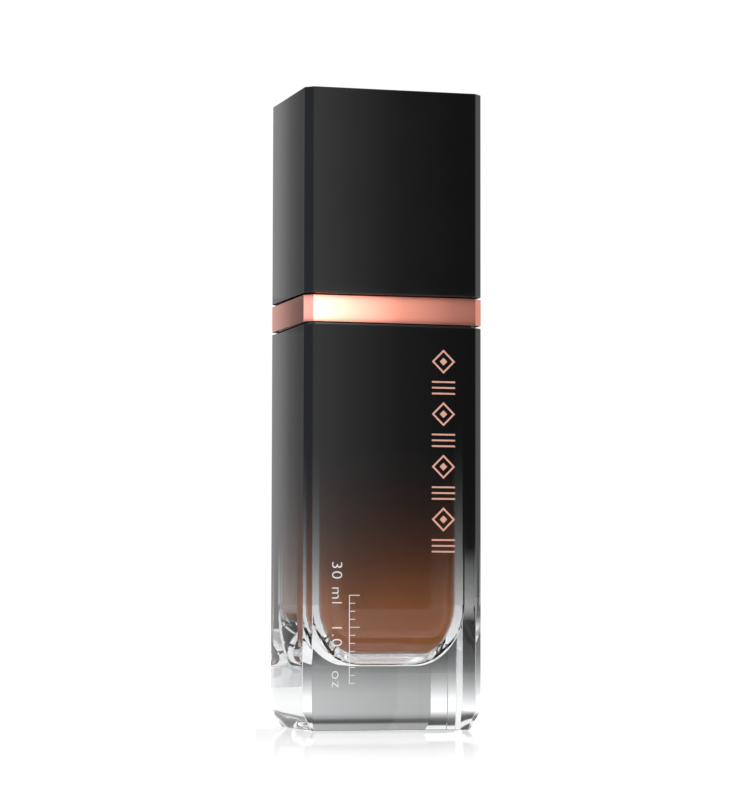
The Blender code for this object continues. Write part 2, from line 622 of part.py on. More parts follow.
def make_actuator_core(kit):
    """Actuator core: socket on the stem, deck, skirt and the boss that holds the nozzle."""
    socket = STEM_RADIUS + GAP
    channel_foot = ACTUATOR_BOTTOM + SOCKET_DEPTH
    riser = STEM_BORE_RADIUS
    deck_bottom = ACTUATOR_DECK_TOP - DECK_THICKNESS
    skirt = ACTUATOR_RADIUS - ACTUATOR_WALL - GAP
    skirt_bore = skirt - CORE_SKIRT_WALL
    profile = [(0.0, ACTUATOR_DECK_TOP), (skirt, ACTUATOR_DECK_TOP),
               (skirt, ACTUATOR_BOTTOM + GAP), (skirt_bore, ACTUATOR_BOTTOM + GAP),
               (skirt_bore, deck_bottom), (HUB_RADIUS, deck_bottom), (HUB_RADIUS, ACTUATOR_BOTTOM),
               (socket, ACTUATOR_BOTTOM), (socket, channel_foot), (riser, channel_foot),
               (riser, CHANNEL_LEVEL), (0.0, CHANNEL_LEVEL)]
    core = turned("actuator_core", profile, kit.parts, kit.moulded)
    boss = sideways_rod(kit, "nozzle_boss", BOSS_RADIUS, HUB_RADIUS - GAP,
                        skirt - CORE_SKIRT_WALL / 2, CHANNEL_LEVEL)
    boolean(core, boss, "UNION")
    inner_end = NOZZLE_REACH - NOZZLE_LENGTH - GAP
    socket_hole = sideways_rod(kit, "nozzle_socket", NOZZLE_RADIUS + GAP, inner_end,
                               skirt + THROUGH, CHANNEL_LEVEL)
    boolean(core, socket_hole, "DIFFERENCE")
    channel = sideways_rod(kit, "channel", CHANNEL_RADIUS, 0.0, inner_end + THROUGH,
                           CHANNEL_LEVEL)
    boolean(core, channel, "DIFFERENCE")


def make_actuator_shell(kit):
    """Outer button over the core, dished for the fingertip, with the nozzle's window."""
    top = ACTUATOR_TOP_LEVEL
    inside = ACTUATOR_RADIUS - ACTUATOR_WALL
    profile = [(0.0, top - ACTUATOR_DISH)]
    dish_radius = ACTUATOR_RADIUS - 2 * ACTUATOR_EDGE
    for step in range(1, DISH_STEPS + 1):
        share = step / DISH_STEPS
        profile.append((dish_radius * share, top - ACTUATOR_DISH * (1 - share * share)))
    profile += [(ACTUATOR_RADIUS - ACTUATOR_EDGE / 4, top - ACTUATOR_EDGE / 2),
                (ACTUATOR_RADIUS, top - 2 * ACTUATOR_EDGE),
                (ACTUATOR_RADIUS, ACTUATOR_BOTTOM), (inside, ACTUATOR_BOTTOM),
                (inside, ACTUATOR_ROOF), (0.0, ACTUATOR_ROOF)]
    shell = turned("actuator_shell", profile, kit.parts, kit.black)
    window = sideways_rod(kit, "nozzle_window", NOZZLE_RADIUS + GAP, inside - THROUGH,
                          ACTUATOR_RADIUS + THROUGH, CHANNEL_LEVEL)
    boolean(shell, window, "DIFFERENCE")


def make_nozzle_tip(kit):
    """Nozzle insert: a short tube that stands out of the button's side."""
    near = NOZZLE_REACH - NOZZLE_LENGTH
    profile = [(NOZZLE_RADIUS, NOZZLE_LENGTH - NOZZLE_EDGE), (NOZZLE_RADIUS, 0.0),
               (CHANNEL_RADIUS, 0.0), (CHANNEL_RADIUS, NOZZLE_LENGTH),
               (NOZZLE_RADIUS - NOZZLE_EDGE, NOZZLE_LENGTH)]
    tip = turned("nozzle_tip", profile, kit.parts, kit.plated, FINE_STEPS)
    tip.location = (0.0, -near, CHANNEL_LEVEL)
    tip.rotation_euler = (math.radians(90), 0.0, 0.0)


def make_overcap_shell(kit):
    """Gloss cap shell, open below."""
    bm = body_prism(0.0, CAP_BOTTOM, TOTAL_HEIGHT)
    rim = [edge for edge in bm.edges
           if all(vert.co.z > TOTAL_HEIGHT - CAP_EDGE_ROUND for vert in edge.verts)]
    bmesh.ops.bevel(bm, geom=rim, offset=CAP_EDGE_ROUND, segments=2, affect="EDGES",
                    profile=0.5, material=-1)
    shell = place("overcap_shell", finish_mesh("overcap_shell", bm, False), kit.parts,
                  kit.black)
    pocket = body_prism(CAP_WALL, CAP_BOTTOM - THROUGH, TOTAL_HEIGHT - CAP_TOP)
    boolean(shell, kit.helper("cap_pocket", pocket), "DIFFERENCE")


def make_overcap_liner(kit):
    """Liner inside the cap, which grips the spigot."""
    top = TOTAL_HEIGHT - CAP_TOP - GAP
    bm = body_prism(LINER_SETBACK, CAP_BOTTOM, top)
    liner = place("overcap_liner", finish_mesh("overcap_liner", bm, False), kit.parts,
                  kit.liner)
    pocket = body_prism(LINER_SETBACK + LINER_WALL, CAP_BOTTOM - THROUGH, top - LINER_WALL)
    boolean(liner, kit.helper("liner_pocket", pocket), "DIFFERENCE")


def main():
    clear_scene()
    kit = Kit()
    make_outer_shell(kit)
    make_inner_bottle(kit)
    make_foundation_fill(kit)
    make_shoulder_ring(kit)
    make_closure(kit)
    make_closure_cover(kit)
    make_neck_gasket(kit)
    make_pump_housing(kit)
    make_stem_guide(kit)
    make_stem(kit)
    make_plunger_core(kit)
    make_piston(kit)
    make_return_spring(kit)
    make_actuator_core(kit)
    make_actuator_shell(kit)
    make_nozzle_tip(kit)
    make_overcap_shell(kit)
    make_overcap_liner(kit)


main()
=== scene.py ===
"""Looks of a 30 ml foundation bottle with a treatment pump under a pull-off cap.

A clear acrylic shell, sprayed black from the shoulder down, holds a clear inner bottle.
A rose-gold shoulder ring carries the gloss black cap.  The pump works inside the neck.
"""

import math

import bmesh
import bpy
from mathutils import Matrix, Vector


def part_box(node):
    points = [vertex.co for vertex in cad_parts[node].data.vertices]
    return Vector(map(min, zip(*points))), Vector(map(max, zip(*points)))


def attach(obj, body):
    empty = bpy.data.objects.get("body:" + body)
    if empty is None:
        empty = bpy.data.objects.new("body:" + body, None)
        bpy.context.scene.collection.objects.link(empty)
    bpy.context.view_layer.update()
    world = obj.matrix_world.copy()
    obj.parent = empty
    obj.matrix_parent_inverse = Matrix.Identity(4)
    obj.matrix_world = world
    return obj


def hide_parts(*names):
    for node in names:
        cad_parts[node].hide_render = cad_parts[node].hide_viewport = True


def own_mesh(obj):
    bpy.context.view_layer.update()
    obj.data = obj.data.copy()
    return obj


bl_info = {
    "name": "Foundation bottle looks",
    "version": (1, 0, 0),
    "blender": (4, 5, 0),
    "location": "View3D > Sidebar > Bottle",
    "description": "Builds the visible pieces and finishes of a foundation bottle",
    "category": "Object",
}

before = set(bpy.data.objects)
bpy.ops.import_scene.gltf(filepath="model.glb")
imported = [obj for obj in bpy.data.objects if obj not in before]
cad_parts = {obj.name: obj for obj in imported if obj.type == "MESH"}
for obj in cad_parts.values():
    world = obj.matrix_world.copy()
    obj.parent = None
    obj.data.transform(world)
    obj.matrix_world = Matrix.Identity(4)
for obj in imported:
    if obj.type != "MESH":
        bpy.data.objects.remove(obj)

MM = 0.001
GAP = 0.3 * MM
TURN = math.radians(360)
RIGHT_ANGLE = math.radians(90)
ROUND_STEPS = 96
FINE_STEPS = 48
CORNER_STEPS = 12
ROUNDING_STEPS = 26
MERGE = 0.002 * MM
EDGE_ANGLE = math.radians(30)

# Sizes that the frame gives
SHELL_LOW, SHELL_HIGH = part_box("outer_shell")
BAND_LOW, BAND_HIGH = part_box("shoulder_ring")
CAP_LOW, CAP_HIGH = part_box("overcap_shell")
LINER_LOW, LINER_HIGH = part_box("overcap_liner")
INNER_LOW, INNER_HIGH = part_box("inner_bottle")
LIQUID_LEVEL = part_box("foundation_fill")[1].z
HOUSING_LOW, HOUSING_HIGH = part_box("pump_housing")
TUBE_LOW, TUBE_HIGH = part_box("dip_tube")
GUIDE_LOW, GUIDE_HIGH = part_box("stem_guide")
CLOSURE_LOW, CLOSURE_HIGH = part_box("closure")
COVER_LOW, COVER_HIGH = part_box("closure_cover")
GASKET_LOW, GASKET_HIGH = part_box("neck_gasket")
STEM_LOW, STEM_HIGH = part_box("stem")
CORE_LOW, CORE_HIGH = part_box("plunger_core")
PISTON_LOW, PISTON_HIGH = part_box("piston")
SPRING_LOW, SPRING_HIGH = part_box("return_spring")
BALL_LOW, BALL_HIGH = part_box("inlet_ball")
BUTTON_LOW, BUTTON_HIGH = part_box("actuator_shell")
HUB_LOW, HUB_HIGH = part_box("actuator_core")
NOZZLE_LOW, NOZZLE_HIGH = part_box("nozzle_tip")

WIDTH = SHELL_HIGH.x - SHELL_LOW.x
DEPTH = SHELL_HIGH.y - SHELL_LOW.y
FRONT = SHELL_LOW.y
FLOOR = SHELL_LOW.z

# Outside forms
EDGE_CHAMFER = 1.5 * MM
FOOT_HEIGHT = 3.6 * MM
FOOT_INSET = 2.0 * MM
TONGUE_SETBACK = 1.2 * MM
TONGUE_HEIGHT = 1.8 * MM
BODY_TOP = SHELL_HIGH.z - TONGUE_HEIGHT
SPIGOT_HEIGHT = 4.5 * MM
SPIGOT_SETBACK = 2.4 * MM
SPIGOT_WALL = 1.0 * MM
BAND_TOP = BAND_HIGH.z - SPIGOT_HEIGHT
DECK_THICKNESS = 1.9 * MM
CAP_WALL = 0.9 * MM
CAP_TOP = 1.5 * MM

# Inner bottle and its contents
SHELL_SIDE_WALL = 2.2 * MM
SHELL_FRONT_WALL = 2.5 * MM
INNER_WIDTH = WIDTH - 2 * (SHELL_SIDE_WALL + GAP)
INNER_DEPTH = DEPTH - 2 * (SHELL_FRONT_WALL + GAP)
INNER_CORNER = 5.1 * MM
INNER_WALL = 1.0 * MM
INNER_ROUNDING = 11.5 * MM
FOOT_SHARE = 0.40
FLANGE_THICKNESS = 1.2 * MM
FLANGE_BOTTOM = SHELL_HIGH.z + GAP
FLANGE_TOP = FLANGE_BOTTOM + FLANGE_THICKNESS
WETTING = 0.02 * MM  # how far the liquid's skin goes into the wall that it wets
NECK_RADIUS = GASKET_HIGH.x
NECK_WALL = 1.5 * MM
THREAD_PITCH = 2.5 * MM
THREAD_TURNS = 1.25
THREAD_RIDGE = 0.8 * MM
THREAD_ROOT = 0.5 * MM
THREAD_CREST = 0.3 * MM
THREAD_START = FLANGE_TOP + 3.8 * MM

# Pump
HOUSING_WALL = 1.2 * MM
HOUSING_FLANGE = 0.8 * MM
HOUSING_RADIUS = 4.9 * MM
HOUSING_BORE = HOUSING_RADIUS - HOUSING_WALL
HOUSING_FLOOR = HOUSING_HIGH.z - 22.0 * MM
BALL_CHAMBER = 2.1 * MM
BALL_SEAT = HOUSING_FLOOR - 2.4 * MM
INLET_RADIUS = 1.1 * MM
INLET_LENGTH = 1.2 * MM
TUBE_RADIUS = TUBE_HIGH.x
TUBE_WALL = 0.6 * MM
TUBE_SLANT = 1.6 * MM
TAIL_BORE = TUBE_RADIUS + GAP
TAIL_RADIUS = TAIL_BORE + 0.9 * MM
COLLAR_RADIUS = 3.6 * MM
GUIDE_FLANGE = 0.6 * MM
STEM_RADIUS = 2.0 * MM
STEM_BORE = 1.0 * MM
STEM_FOOT = 0.8 * MM
SHAFT_RADIUS = 1.5 * MM
PISTON_LIP = 0.65 * MM
PISTON_GROOVE = 0.91 * MM
PISTON_WAIST = PISTON_HIGH.x - 0.5 * MM
BALL_DIVISIONS = 4
SPRING_WIRE = 0.5 * MM
SPRING_TURNS = 8
SPRING_SIDES = 12
SPRING_STEPS = 40
CLOSURE_WALL = 1.1 * MM
CLOSURE_TOP = 1.2 * MM
COVER_WALL = 0.4 * MM
COVER_LIP = 4.0 * MM

# Actuator
BUTTON_WALL = 0.8 * MM
BUTTON_TOP = 1.1 * MM
BUTTON_DISH = 0.5 * MM
BUTTON_RIM = 1.0 * MM
DISH_STEPS = 12
RIM_STEPS = 8
HUB_RADIUS = 3.4 * MM
SOCKET_DEPTH = 4.2 * MM
HUB_DECK = 1.4 * MM
SKIRT_WALL = 0.8 * MM
CHANNEL_RADIUS = 0.8 * MM
NOZZLE_LEVEL = (NOZZLE_LOW.z + NOZZLE_HIGH.z) / 2
NOZZLE_RADIUS = NOZZLE_HIGH.x
NOZZLE_LENGTH = NOZZLE_HIGH.y - NOZZLE_LOW.y
NOZZLE_EDGE = 0.3 * MM
NOZZLE_ROUND = 0.05 * MM
NOZZLE_ROOM = NOZZLE_RADIUS + GAP
BOSS_RADIUS = 2.7 * MM

# Decoration on the front face
MARK_COUNT = 8
MARK_X = 9.6 * MM
MARK_TOP = 69.8 * MM
MARK_PITCH = 5.0 * MM
DIAMOND_HALF = 2.3 * MM
DIAMOND_LINE = 0.34 * MM
DIAMOND_HEART = 0.75 * MM
BAR_LENGTH = 4.6 * MM
BAR_LINE = 0.32 * MM
BAR_PITCH = 1.1 * MM
CONTENTS = "30 ml   1.0 fl oz"
CONTENTS_X = -11.2 * MM
CONTENTS_TOP = 31.6 * MM
CONTENTS_LENGTH = 23.5 * MM
LETTER_SIZE = 2.9 * MM
LETTER_SPACING = 1.12
LETTER_THINNING = -0.03 * MM
LETTER_CURVE_STEPS = 6
LEVEL_COUNT = 12
LEVELS_PER_LONG = 4
LEVEL_X = -8.7 * MM
LEVEL_TOP = 25.4 * MM
LEVEL_PITCH = 1.5 * MM
LEVEL_LINE = 0.14 * MM
RULE_X = -8.8 * MM
LEVEL_LONG = 1.9 * MM
LEVEL_SHORT = 1.0 * MM

# Stage
SEEN_WHITE = 1.02
LIGHT_WHITE = 0.75
BEHIND_WHITE = 3.6
FLOOR_REACH = 6.0
FLOOR_DROP = 0.02 * MM
FLOOR_CLOTH = 0.85
FLOOR_GLOW = 0.52
FLOOR_MIRROR = 1.32
FLOOR_GLOSS = 0.46
FLOOR_ROUGHNESS = 0.05
GLOSS_REACH = (15 * MM, 260 * MM)
GLOSS_DEPTH = (-4 * MM, 24 * MM)
STRIP_EDGE = 0.25 * MM
CAMERA_PLACE = Vector((-163.9, -590.1, 21.5)) * MM
CAMERA_LENS = 142.8
CAMERA_SENSOR = 36.0
CAMERA_CLIP = (0.01, 50.0)
CAMERA_YAW = 0.2709
CAMERA_PITCH = 0.0680
CAMERA_ROLL = 0.002


def linear(code):
    """A linear colour from an sRGB hex code."""
    parts = [int(code[index:index + 2], 16) / 255 for index in (1, 3, 5)]
    return tuple(part / 12.92 if part <= 0.04045 else ((part + 0.055) / 1.055) ** 2.4
                 for part in parts)


def length(name, description, default, low, high):
    """A length property, in millimetres."""
    return bpy.props.FloatProperty(
        name=name, description=description, default=default * MM, min=low * MM,
        max=high * MM, unit="LENGTH", precision=5)


def colour(name, description, code):
    """A colour property."""
    return bpy.props.FloatVectorProperty(
        name=name, description=description, default=linear(code), subtype="COLOR",
        size=3, min=0.0, max=1.0)


class BottleSizes(bpy.types.PropertyGroup):
    """Sizes that change how the edges and the decoration look."""

    edge_round: length("Edge round", "Rounding on the cap's and the ring's edges",
                       0.16, 0.02, 0.4)
    acrylic_round: length("Acrylic edge round", "Rounding on the clear shell's edges",
                          0.14, 0.02, 0.4)
    moulded_round: length("Moulded edge round", "Rounding on the pump's moulded edges",
                          0.08, 0.01, 0.2)
    print_height: length("Print height", "How far the print stands on the front face",
                         0.02, 0.01, 0.1)
    lacquer_reach: length("Lacquer reach", "Height at which the black lacquer is solid",
                          60.0, 30.0, 76.0)


class BottleColours(bpy.types.PropertyGroup):
    """Colours of the finishes."""

    liquid: colour("Foundation", "Colour of the liquid", "#D07F4C")
    lacquer: colour("Lacquer", "Colour of the sprayed lacquer", "#0C0C0E")
    plating: colour("Plating", "Colour of the rose-gold plating", "#F7A18C")
    foil: colour("Foil", "Colour of the stamped marks", "#F5B7A2")


# ---------------------------------------------------------------- mesh helpers

def turn_form(bm, angle, axis):
    """Turn a whole form about one axis."""
    bmesh.ops.rotate(bm, cent=(0, 0, 0), matrix=Matrix.Rotation(angle, 3, axis),
                     verts=bm.verts)


def move_form(bm, x, y, z):
    """Move a whole form."""
    bmesh.ops.translate(bm, vec=(x, y, z), verts=bm.verts)


def picked(made, kind):
    """The new verts, edges or faces that an operator made."""
    return [item for item in made if isinstance(item, kind)]


def block(width, depth, bottom, top, corner, steps=1):
    """An upright block on the Z axis, with flats or rounds on its upright edges."""
    bm = bmesh.new()
    bmesh.ops.create_cube(bm, size=1.0)
    bmesh.ops.scale(bm, vec=(width, depth, top - bottom), verts=bm.verts)
    move_form(bm, 0, 0, (top + bottom) / 2)
    upright = [edge for edge in bm.edges
               if abs(edge.verts[0].co.z - edge.verts[1].co.z) > (top - bottom) / 2]
    bmesh.ops.bevel(bm, geom=upright, offset=corner, segments=steps, affect="EDGES",
                    profile=0.5, material=-1)
    return bm


def end_face(bm, side):
    """The flat end of a block: 1 is its top, -1 its foot."""
    bm.normal_update()
    return max(bm.faces, key=lambda face: side * face.calc_center_median().z
               + side * face.normal.z)


def drop_face(bm, face):
    """Open a block at one face."""
    bmesh.ops.delete(bm, geom=[face], context="FACES_ONLY")


def draw_out(bm, face, rise, share=1.0):
    """Extrude a face straight up, shrink it to a share, and return it in its new place."""
    made = bmesh.ops.extrude_face_region(bm, geom=[face])["geom"]
    if face.is_valid:
        drop_face(bm, face)
    moved = picked(made, bmesh.types.BMVert)
    bmesh.ops.scale(bm, vec=(share, share, 1), verts=moved)
    bmesh.ops.translate(bm, vec=(0, 0, rise), verts=moved)
    return picked(made, bmesh.types.BMFace)[0]


def step_in(bm, face, setback, rise):
    """Draw a face in by a setback, raise it, and return the face in its new place."""
    bmesh.ops.inset_region(bm, faces=[face], thickness=setback, use_even_offset=True)
    return draw_out(bm, face, rise)


def tub(width, depth, corner, floor, rounding, top):
    """A rounded block, open above, whose walls turn in to a small flat foot."""
    bm = block(width, depth, floor + rounding, top, corner, CORNER_STEPS)
    drop_face(bm, end_face(bm, 1))
    lower = end_face(bm, -1)
    last_share = 1.0
    last_drop = 0.0
    for step in range(1, ROUNDING_STEPS + 1):
        angle = RIGHT_ANGLE * step / ROUNDING_STEPS
        share = 1 - (1 - FOOT_SHARE) * (1 - math.cos(angle))
        drop = rounding * math.sin(angle)
        lower = draw_out(bm, lower, last_drop - drop, share / last_share)
        last_share = share
        last_drop = drop
    return bm


def turned(profile, steps=ROUND_STEPS, closed=True):
    """A profile of (radius, height) points spun round the Z axis."""
    bm = bmesh.new()
    verts = [bm.verts.new((radius, 0, height)) for radius, height in profile]
    edges = [bm.edges.new(pair) for pair in zip(verts, verts[1:])]
    if closed and not (profile[0][0] == 0 and profile[-1][0] == 0):
        edges.append(bm.edges.new((verts[-1], verts[0])))
    bmesh.ops.spin(bm, geom=[*verts, *edges], cent=(0, 0, 0), axis=(0, 0, 1),
                   angle=TURN, steps=steps, use_merge=True)
    bmesh.ops.remove_doubles(bm, verts=bm.verts, dist=MERGE)
    bmesh.ops.recalc_face_normals(bm, faces=bm.faces)
    return bm


def coil(section, turns, pitch, steps_per_turn):
    """A section of (radius, height) points swept along a helix."""
    bm = bmesh.new()
    verts = [bm.verts.new((radius, 0, height)) for radius, height in section]
    face = bm.faces.new(verts)
    steps = round(steps_per_turn * turns)
    bmesh.ops.spin(bm, geom=[face, *face.edges, *face.verts], cent=(0, 0, 0),
                   axis=(0, 0, 1), dvec=(0, 0, pitch * turns / steps),
                   angle=TURN * turns, steps=steps)
    bmesh.ops.remove_doubles(bm, verts=bm.verts, dist=MERGE)
    bmesh.ops.recalc_face_normals(bm, faces=bm.faces)
    return bm


def thread(root, crest, start):
    """A thread ridge, wider at its root than at its crest."""
    return coil([(root, start - THREAD_ROOT), (crest, start - THREAD_CREST),
                 (crest, start + THREAD_CREST), (root, start + THREAD_ROOT)],
                THREAD_TURNS, THREAD_PITCH, ROUND_STEPS)


def take_in(bm, other):
    """Add another bmesh to this one."""
    carrier = bpy.data.meshes.new("carrier")
    other.to_mesh(carrier)
    other.free()
    bm.from_mesh(carrier)
    bpy.data.meshes.remove(carrier)


def rims(bm):
    """Each open rim as (edges, level, half width)."""
    left = {edge for edge in bm.edges if edge.is_boundary}
    found = []
    while left:
        group = [left.pop()]
        for edge in group:
            for vert in edge.verts:
                for near in vert.link_edges:
                    if near in left:
                        left.remove(near)
                        group.append(near)
        verts = {vert for edge in group for vert in edge.verts}
        level = sum(vert.co.z for vert in verts) / len(verts)
        found.append((group, level, max(vert.co.x for vert in verts)))
    return found


def bridge(bm, level, one, two):
    """Close the flat ring between two open rims on a level, given by their half widths."""
    edges = []
    for half in (one, two):
        edges += min(rims(bm), key=lambda rim: abs(rim[1] - level) + abs(rim[2] - half))[0]
    bmesh.ops.triangle_fill(bm, edges=edges, use_beauty=True, normal=(0, 0, 1))


def seal(bm):
    """Merge doubles and point every face outwards."""
    bmesh.ops.remove_doubles(bm, verts=bm.verts, dist=MERGE)
    bmesh.ops.recalc_face_normals(bm, faces=bm.faces)
    if bm.calc_volume(signed=True) < 0:
        bmesh.ops.reverse_faces(bm, faces=bm.faces)


def sideways(bm, near):
    """Lay a turned form level with the nozzle, from near the middle towards the front."""
    turn_form(bm, RIGHT_ANGLE, "X")
    move_form(bm, 0, -near, NOZZLE_LEVEL)
    return bm


def linked(name, data):
    """A new object in the scene."""
    made = bpy.data.objects.new(name, data)
    bpy.context.scene.collection.objects.link(made)
    return made


def as_object(name, bm):
    """Turn a bmesh into an object in the scene."""
    mesh = bpy.data.meshes.new(name)
    bm.to_mesh(mesh)
    bm.free()
    return linked(name, mesh)


def settle(name, bm, finishes, body, nodes, edge=0.0, segments=2):
    """Turn a bmesh into a piece: object, finish, edges, body and what it stands for."""
    made = as_object(name, bm)
    made.data.shade_smooth()
    for finish_name in finishes:
        made.data.materials.append(finish(finish_name))
    if edge:
        bevel = made.modifiers.new("edges", "BEVEL")
        bevel.width = edge
        bevel.segments = segments
        bevel.limit_method = "ANGLE"
        bevel.angle_limit = EDGE_ANGLE
        bevel.harden_normals = True
    shade = made.modifiers.new("flats", "WEIGHTED_NORMAL")
    shade.weight = 100
    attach(made, body)
    if nodes:
        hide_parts(*nodes)
    return made


def combine(target, tool_bm, operation):
    """Join to or cut from a form with a tool form, and return the result."""
    tool = as_object("tool", tool_bm)
    work = as_object("work", target)
    step = work.modifiers.new("tool", "BOOLEAN")
    step.operation = operation
    step.solver = "EXACT"
    step.object = tool
    result = bmesh.new()
    result.from_object(work, bpy.context.evaluated_depsgraph_get())
    for spent in (work, tool):
        data = spent.data
        bpy.data.objects.remove(spent)
        bpy.data.meshes.remove(data)
    bmesh.ops.remove_doubles(result, verts=result.verts, dist=MERGE)
    return result


def with_rod(bm, radius, near, far, operation):
    """Join a level rod to a form, or cut it out, from near to far towards the front."""
    reach = far - near
    rod = turned([(0, 0), (radius, 0), (radius, reach), (0, reach)], FINE_STEPS)
    return combine(bm, sideways(rod, near), operation)


# ---------------------------------------------------------------- finishes

def add(tree, kind, values=None, links=None, stops=None, **settings):
    """Add a node with its settings, socket values, links and colour stops."""
    made = tree.nodes.new(kind)
    for name, value in settings.items():
        setattr(made, name, value)
    for socket, value in (values or {}).items():
        made.inputs[socket].default_value = value
    for socket, source in (links or {}).items():
        tree.links.new(source, made.inputs[socket])
    for index, (place, paint) in enumerate(stops or []):
        elements = made.color_ramp.elements
        element = elements[index] if index < 2 else elements.new(place)
        element.position = place
        element.color = (*paint, 1.0)
    return made


def grey(level):
    """A neutral colour."""
    return (level, level, level)


def solid(level):
    """A neutral colour for a shader's socket."""
    return (level, level, level, 1.0)


def blank(name):
    """A material with its tree emptied, its tree, and the object's own coordinates."""
    made = bpy.data.materials.new(name)
    made.use_nodes = True
    tree = made.node_tree
    tree.nodes.clear()
    return made, tree, add(tree, "ShaderNodeTexCoord").outputs["Object"]


def noise(tree, place, size, detail):
    """Noise whose features are about one size, in millimetres, apart."""
    return add(tree, "ShaderNodeTexNoise", {"Scale": 1 / (size * MM), "Detail": detail},
               {"Vector": place}).outputs["Fac"]


def tint(code):
    """A linear colour from a hex code, or from a colour property and a share of it."""
    if isinstance(code, str):
        return linear(code)
    name, share = code
    base = getattr(bpy.context.scene.bottle_colours, name)
    return tuple(min(1.0, part * share) for part in base)


def tone(tree, factor, dark, light):
    """A colour that drifts between two tones."""
    return add(tree, "ShaderNodeValToRGB", None, {"Fac": factor},
               [(0.3, tint(dark)), (0.7, tint(light))]).outputs["Color"]


# Each finish: how far apart its drift and its grain lie, in millimetres; its lowest and
# highest roughness; the strength and, in millimetres, the depth of its relief; its dark
# and light tones; and what its shader takes
GRAINED = {
    # Injection-moulded acrylic, polished: hard clear gloss with a faint cool tint
    "polished_acrylic": (9, 2, 0.0, 0.015, 0.02, 0.02, "#F9FCFD", "#FCFDFE",
                         {"IOR": 1.49, "Transmission Weight": 1.0}),
    # Blow-moulded copolyester: glossy, with a slow ripple from the mould.  It is wet
    # inside, so its edges hardly show: its index is drawn far below its own 1.57
    "clear_copolyester": (6, 4, 0.0, 0.03, 0.04, 0.03, "#F4F8F9", "#FAFCFC",
                          {"IOR": 1.33, "Transmission Weight": 1.0}),
    # Pigmented emulsion seen through the wall it wets: dense, matt, faintly streaked
    "foundation_emulsion": (7, 1.2, 0.35, 0.5, 0.0, 0.02, ("liquid", 0.94),
                            ("liquid", 1.04), {"IOR": 1.40, "Specular IOR Level": 0.05}),
    # Vacuum-metallised and lacquered ABS: a warm mirror with a slight moulding ripple
    "rose_gold_plated_abs": (5, 3, 0.03, 0.07, 0.015, 0.02, ("plating", 0.97),
                             ("plating", 1.0), {"Metallic": 1.0}),
    # Black ABS moulded in a polished tool: deep gloss with a hint of orange peel
    "gloss_black_abs": (8, 2.2, 0.02, 0.05, 0.02, 0.015, "#0A0A0C", "#0E0E10",
                        {"IOR": 1.52}),
    # Black polypropylene with a spark-eroded skin: soft sheen and fine grain
    "satin_black_polypropylene": (4, 0.25, 0.38, 0.5, 0.25, 0.02, "#1C1C1E", "#242427",
                                  {"IOR": 1.49}),
    # White polypropylene, moulded: satin, with a fine flow grain
    "white_polypropylene": (3, 0.3, 0.32, 0.44, 0.12, 0.02, "#E4E3DE", "#EEEDE9",
                            {"IOR": 1.49, "Subsurface Weight": 0.15,
                             "Subsurface Scale": 0.6 * MM}),
    # Unpigmented polypropylene: milky, letting some light through
    "natural_polypropylene": (3, 0.35, 0.28, 0.4, 0.1, 0.02, "#D9DCD8", "#E6E8E4",
                              {"IOR": 1.49, "Transmission Weight": 0.35}),
    # Hot-stamped rose foil: warm, half metallic, softened by its lacquer
    "rose_stamping_foil": (1.5, 0.2, 0.36, 0.5, 0.1, 0.01, ("foil", 0.93), ("foil", 1.0),
                           {"Metallic": 0.3, "IOR": 1.5}),
    # Screen-printed white ink: thin, flat and slightly uneven
    "white_screen_ink": (0.8, 0.2, 0.4, 0.55, 0.1, 0.01, "#F6F6F6", "#FEFEFE",
                         {"IOR": 1.5}),
}

# Share of the lacquer's reach, and how clear the acrylic still is there
LACQUER_FADE = [(0.0, 1.0), (0.095, 1.0), (0.157, 0.95), (0.205, 0.91), (0.252, 0.88),
                (0.313, 0.83), (0.408, 0.66), (0.533, 0.41), (0.658, 0.25), (0.783, 0.13),
                (0.91, 0.04), (1.0, 0.0)]


def ramp(tree, source, stops):
    """Colours along a length, each at its place in metres."""
    low, high = stops[0][0], stops[-1][0]
    along = add(tree, "ShaderNodeMapRange", {"From Min": low, "From Max": high},
                {"Value": source})
    return add(tree, "ShaderNodeValToRGB", None, {"Fac": along.outputs["Result"]},
               [((spot - low) / (high - low), paint) for spot, paint in
                [stops[0], stops[-1], *stops[1:-1]]]).outputs["Color"]


def grained(tree, place, name):
    """A grained finish's shader, its drift and its relief."""
    spread, size, low, high, bump, depth, dark, light, values = GRAINED[name]
    drift = noise(tree, place, spread, 2.0)
    rough = add(tree, "ShaderNodeMapRange", {"To Min": low, "To Max": high},
                {"Value": drift}).outputs["Result"]
    normal = add(tree, "ShaderNodeBump", {"Strength": bump, "Distance": depth * MM},
                 {"Height": noise(tree, place, size, 3.0)}).outputs["Normal"]
    body = add(tree, "ShaderNodeBsdfPrincipled", values,
               {"Base Color": tone(tree, drift, dark, light), "Roughness": rough,
                "Normal": normal})
    return body.outputs["BSDF"], drift, normal


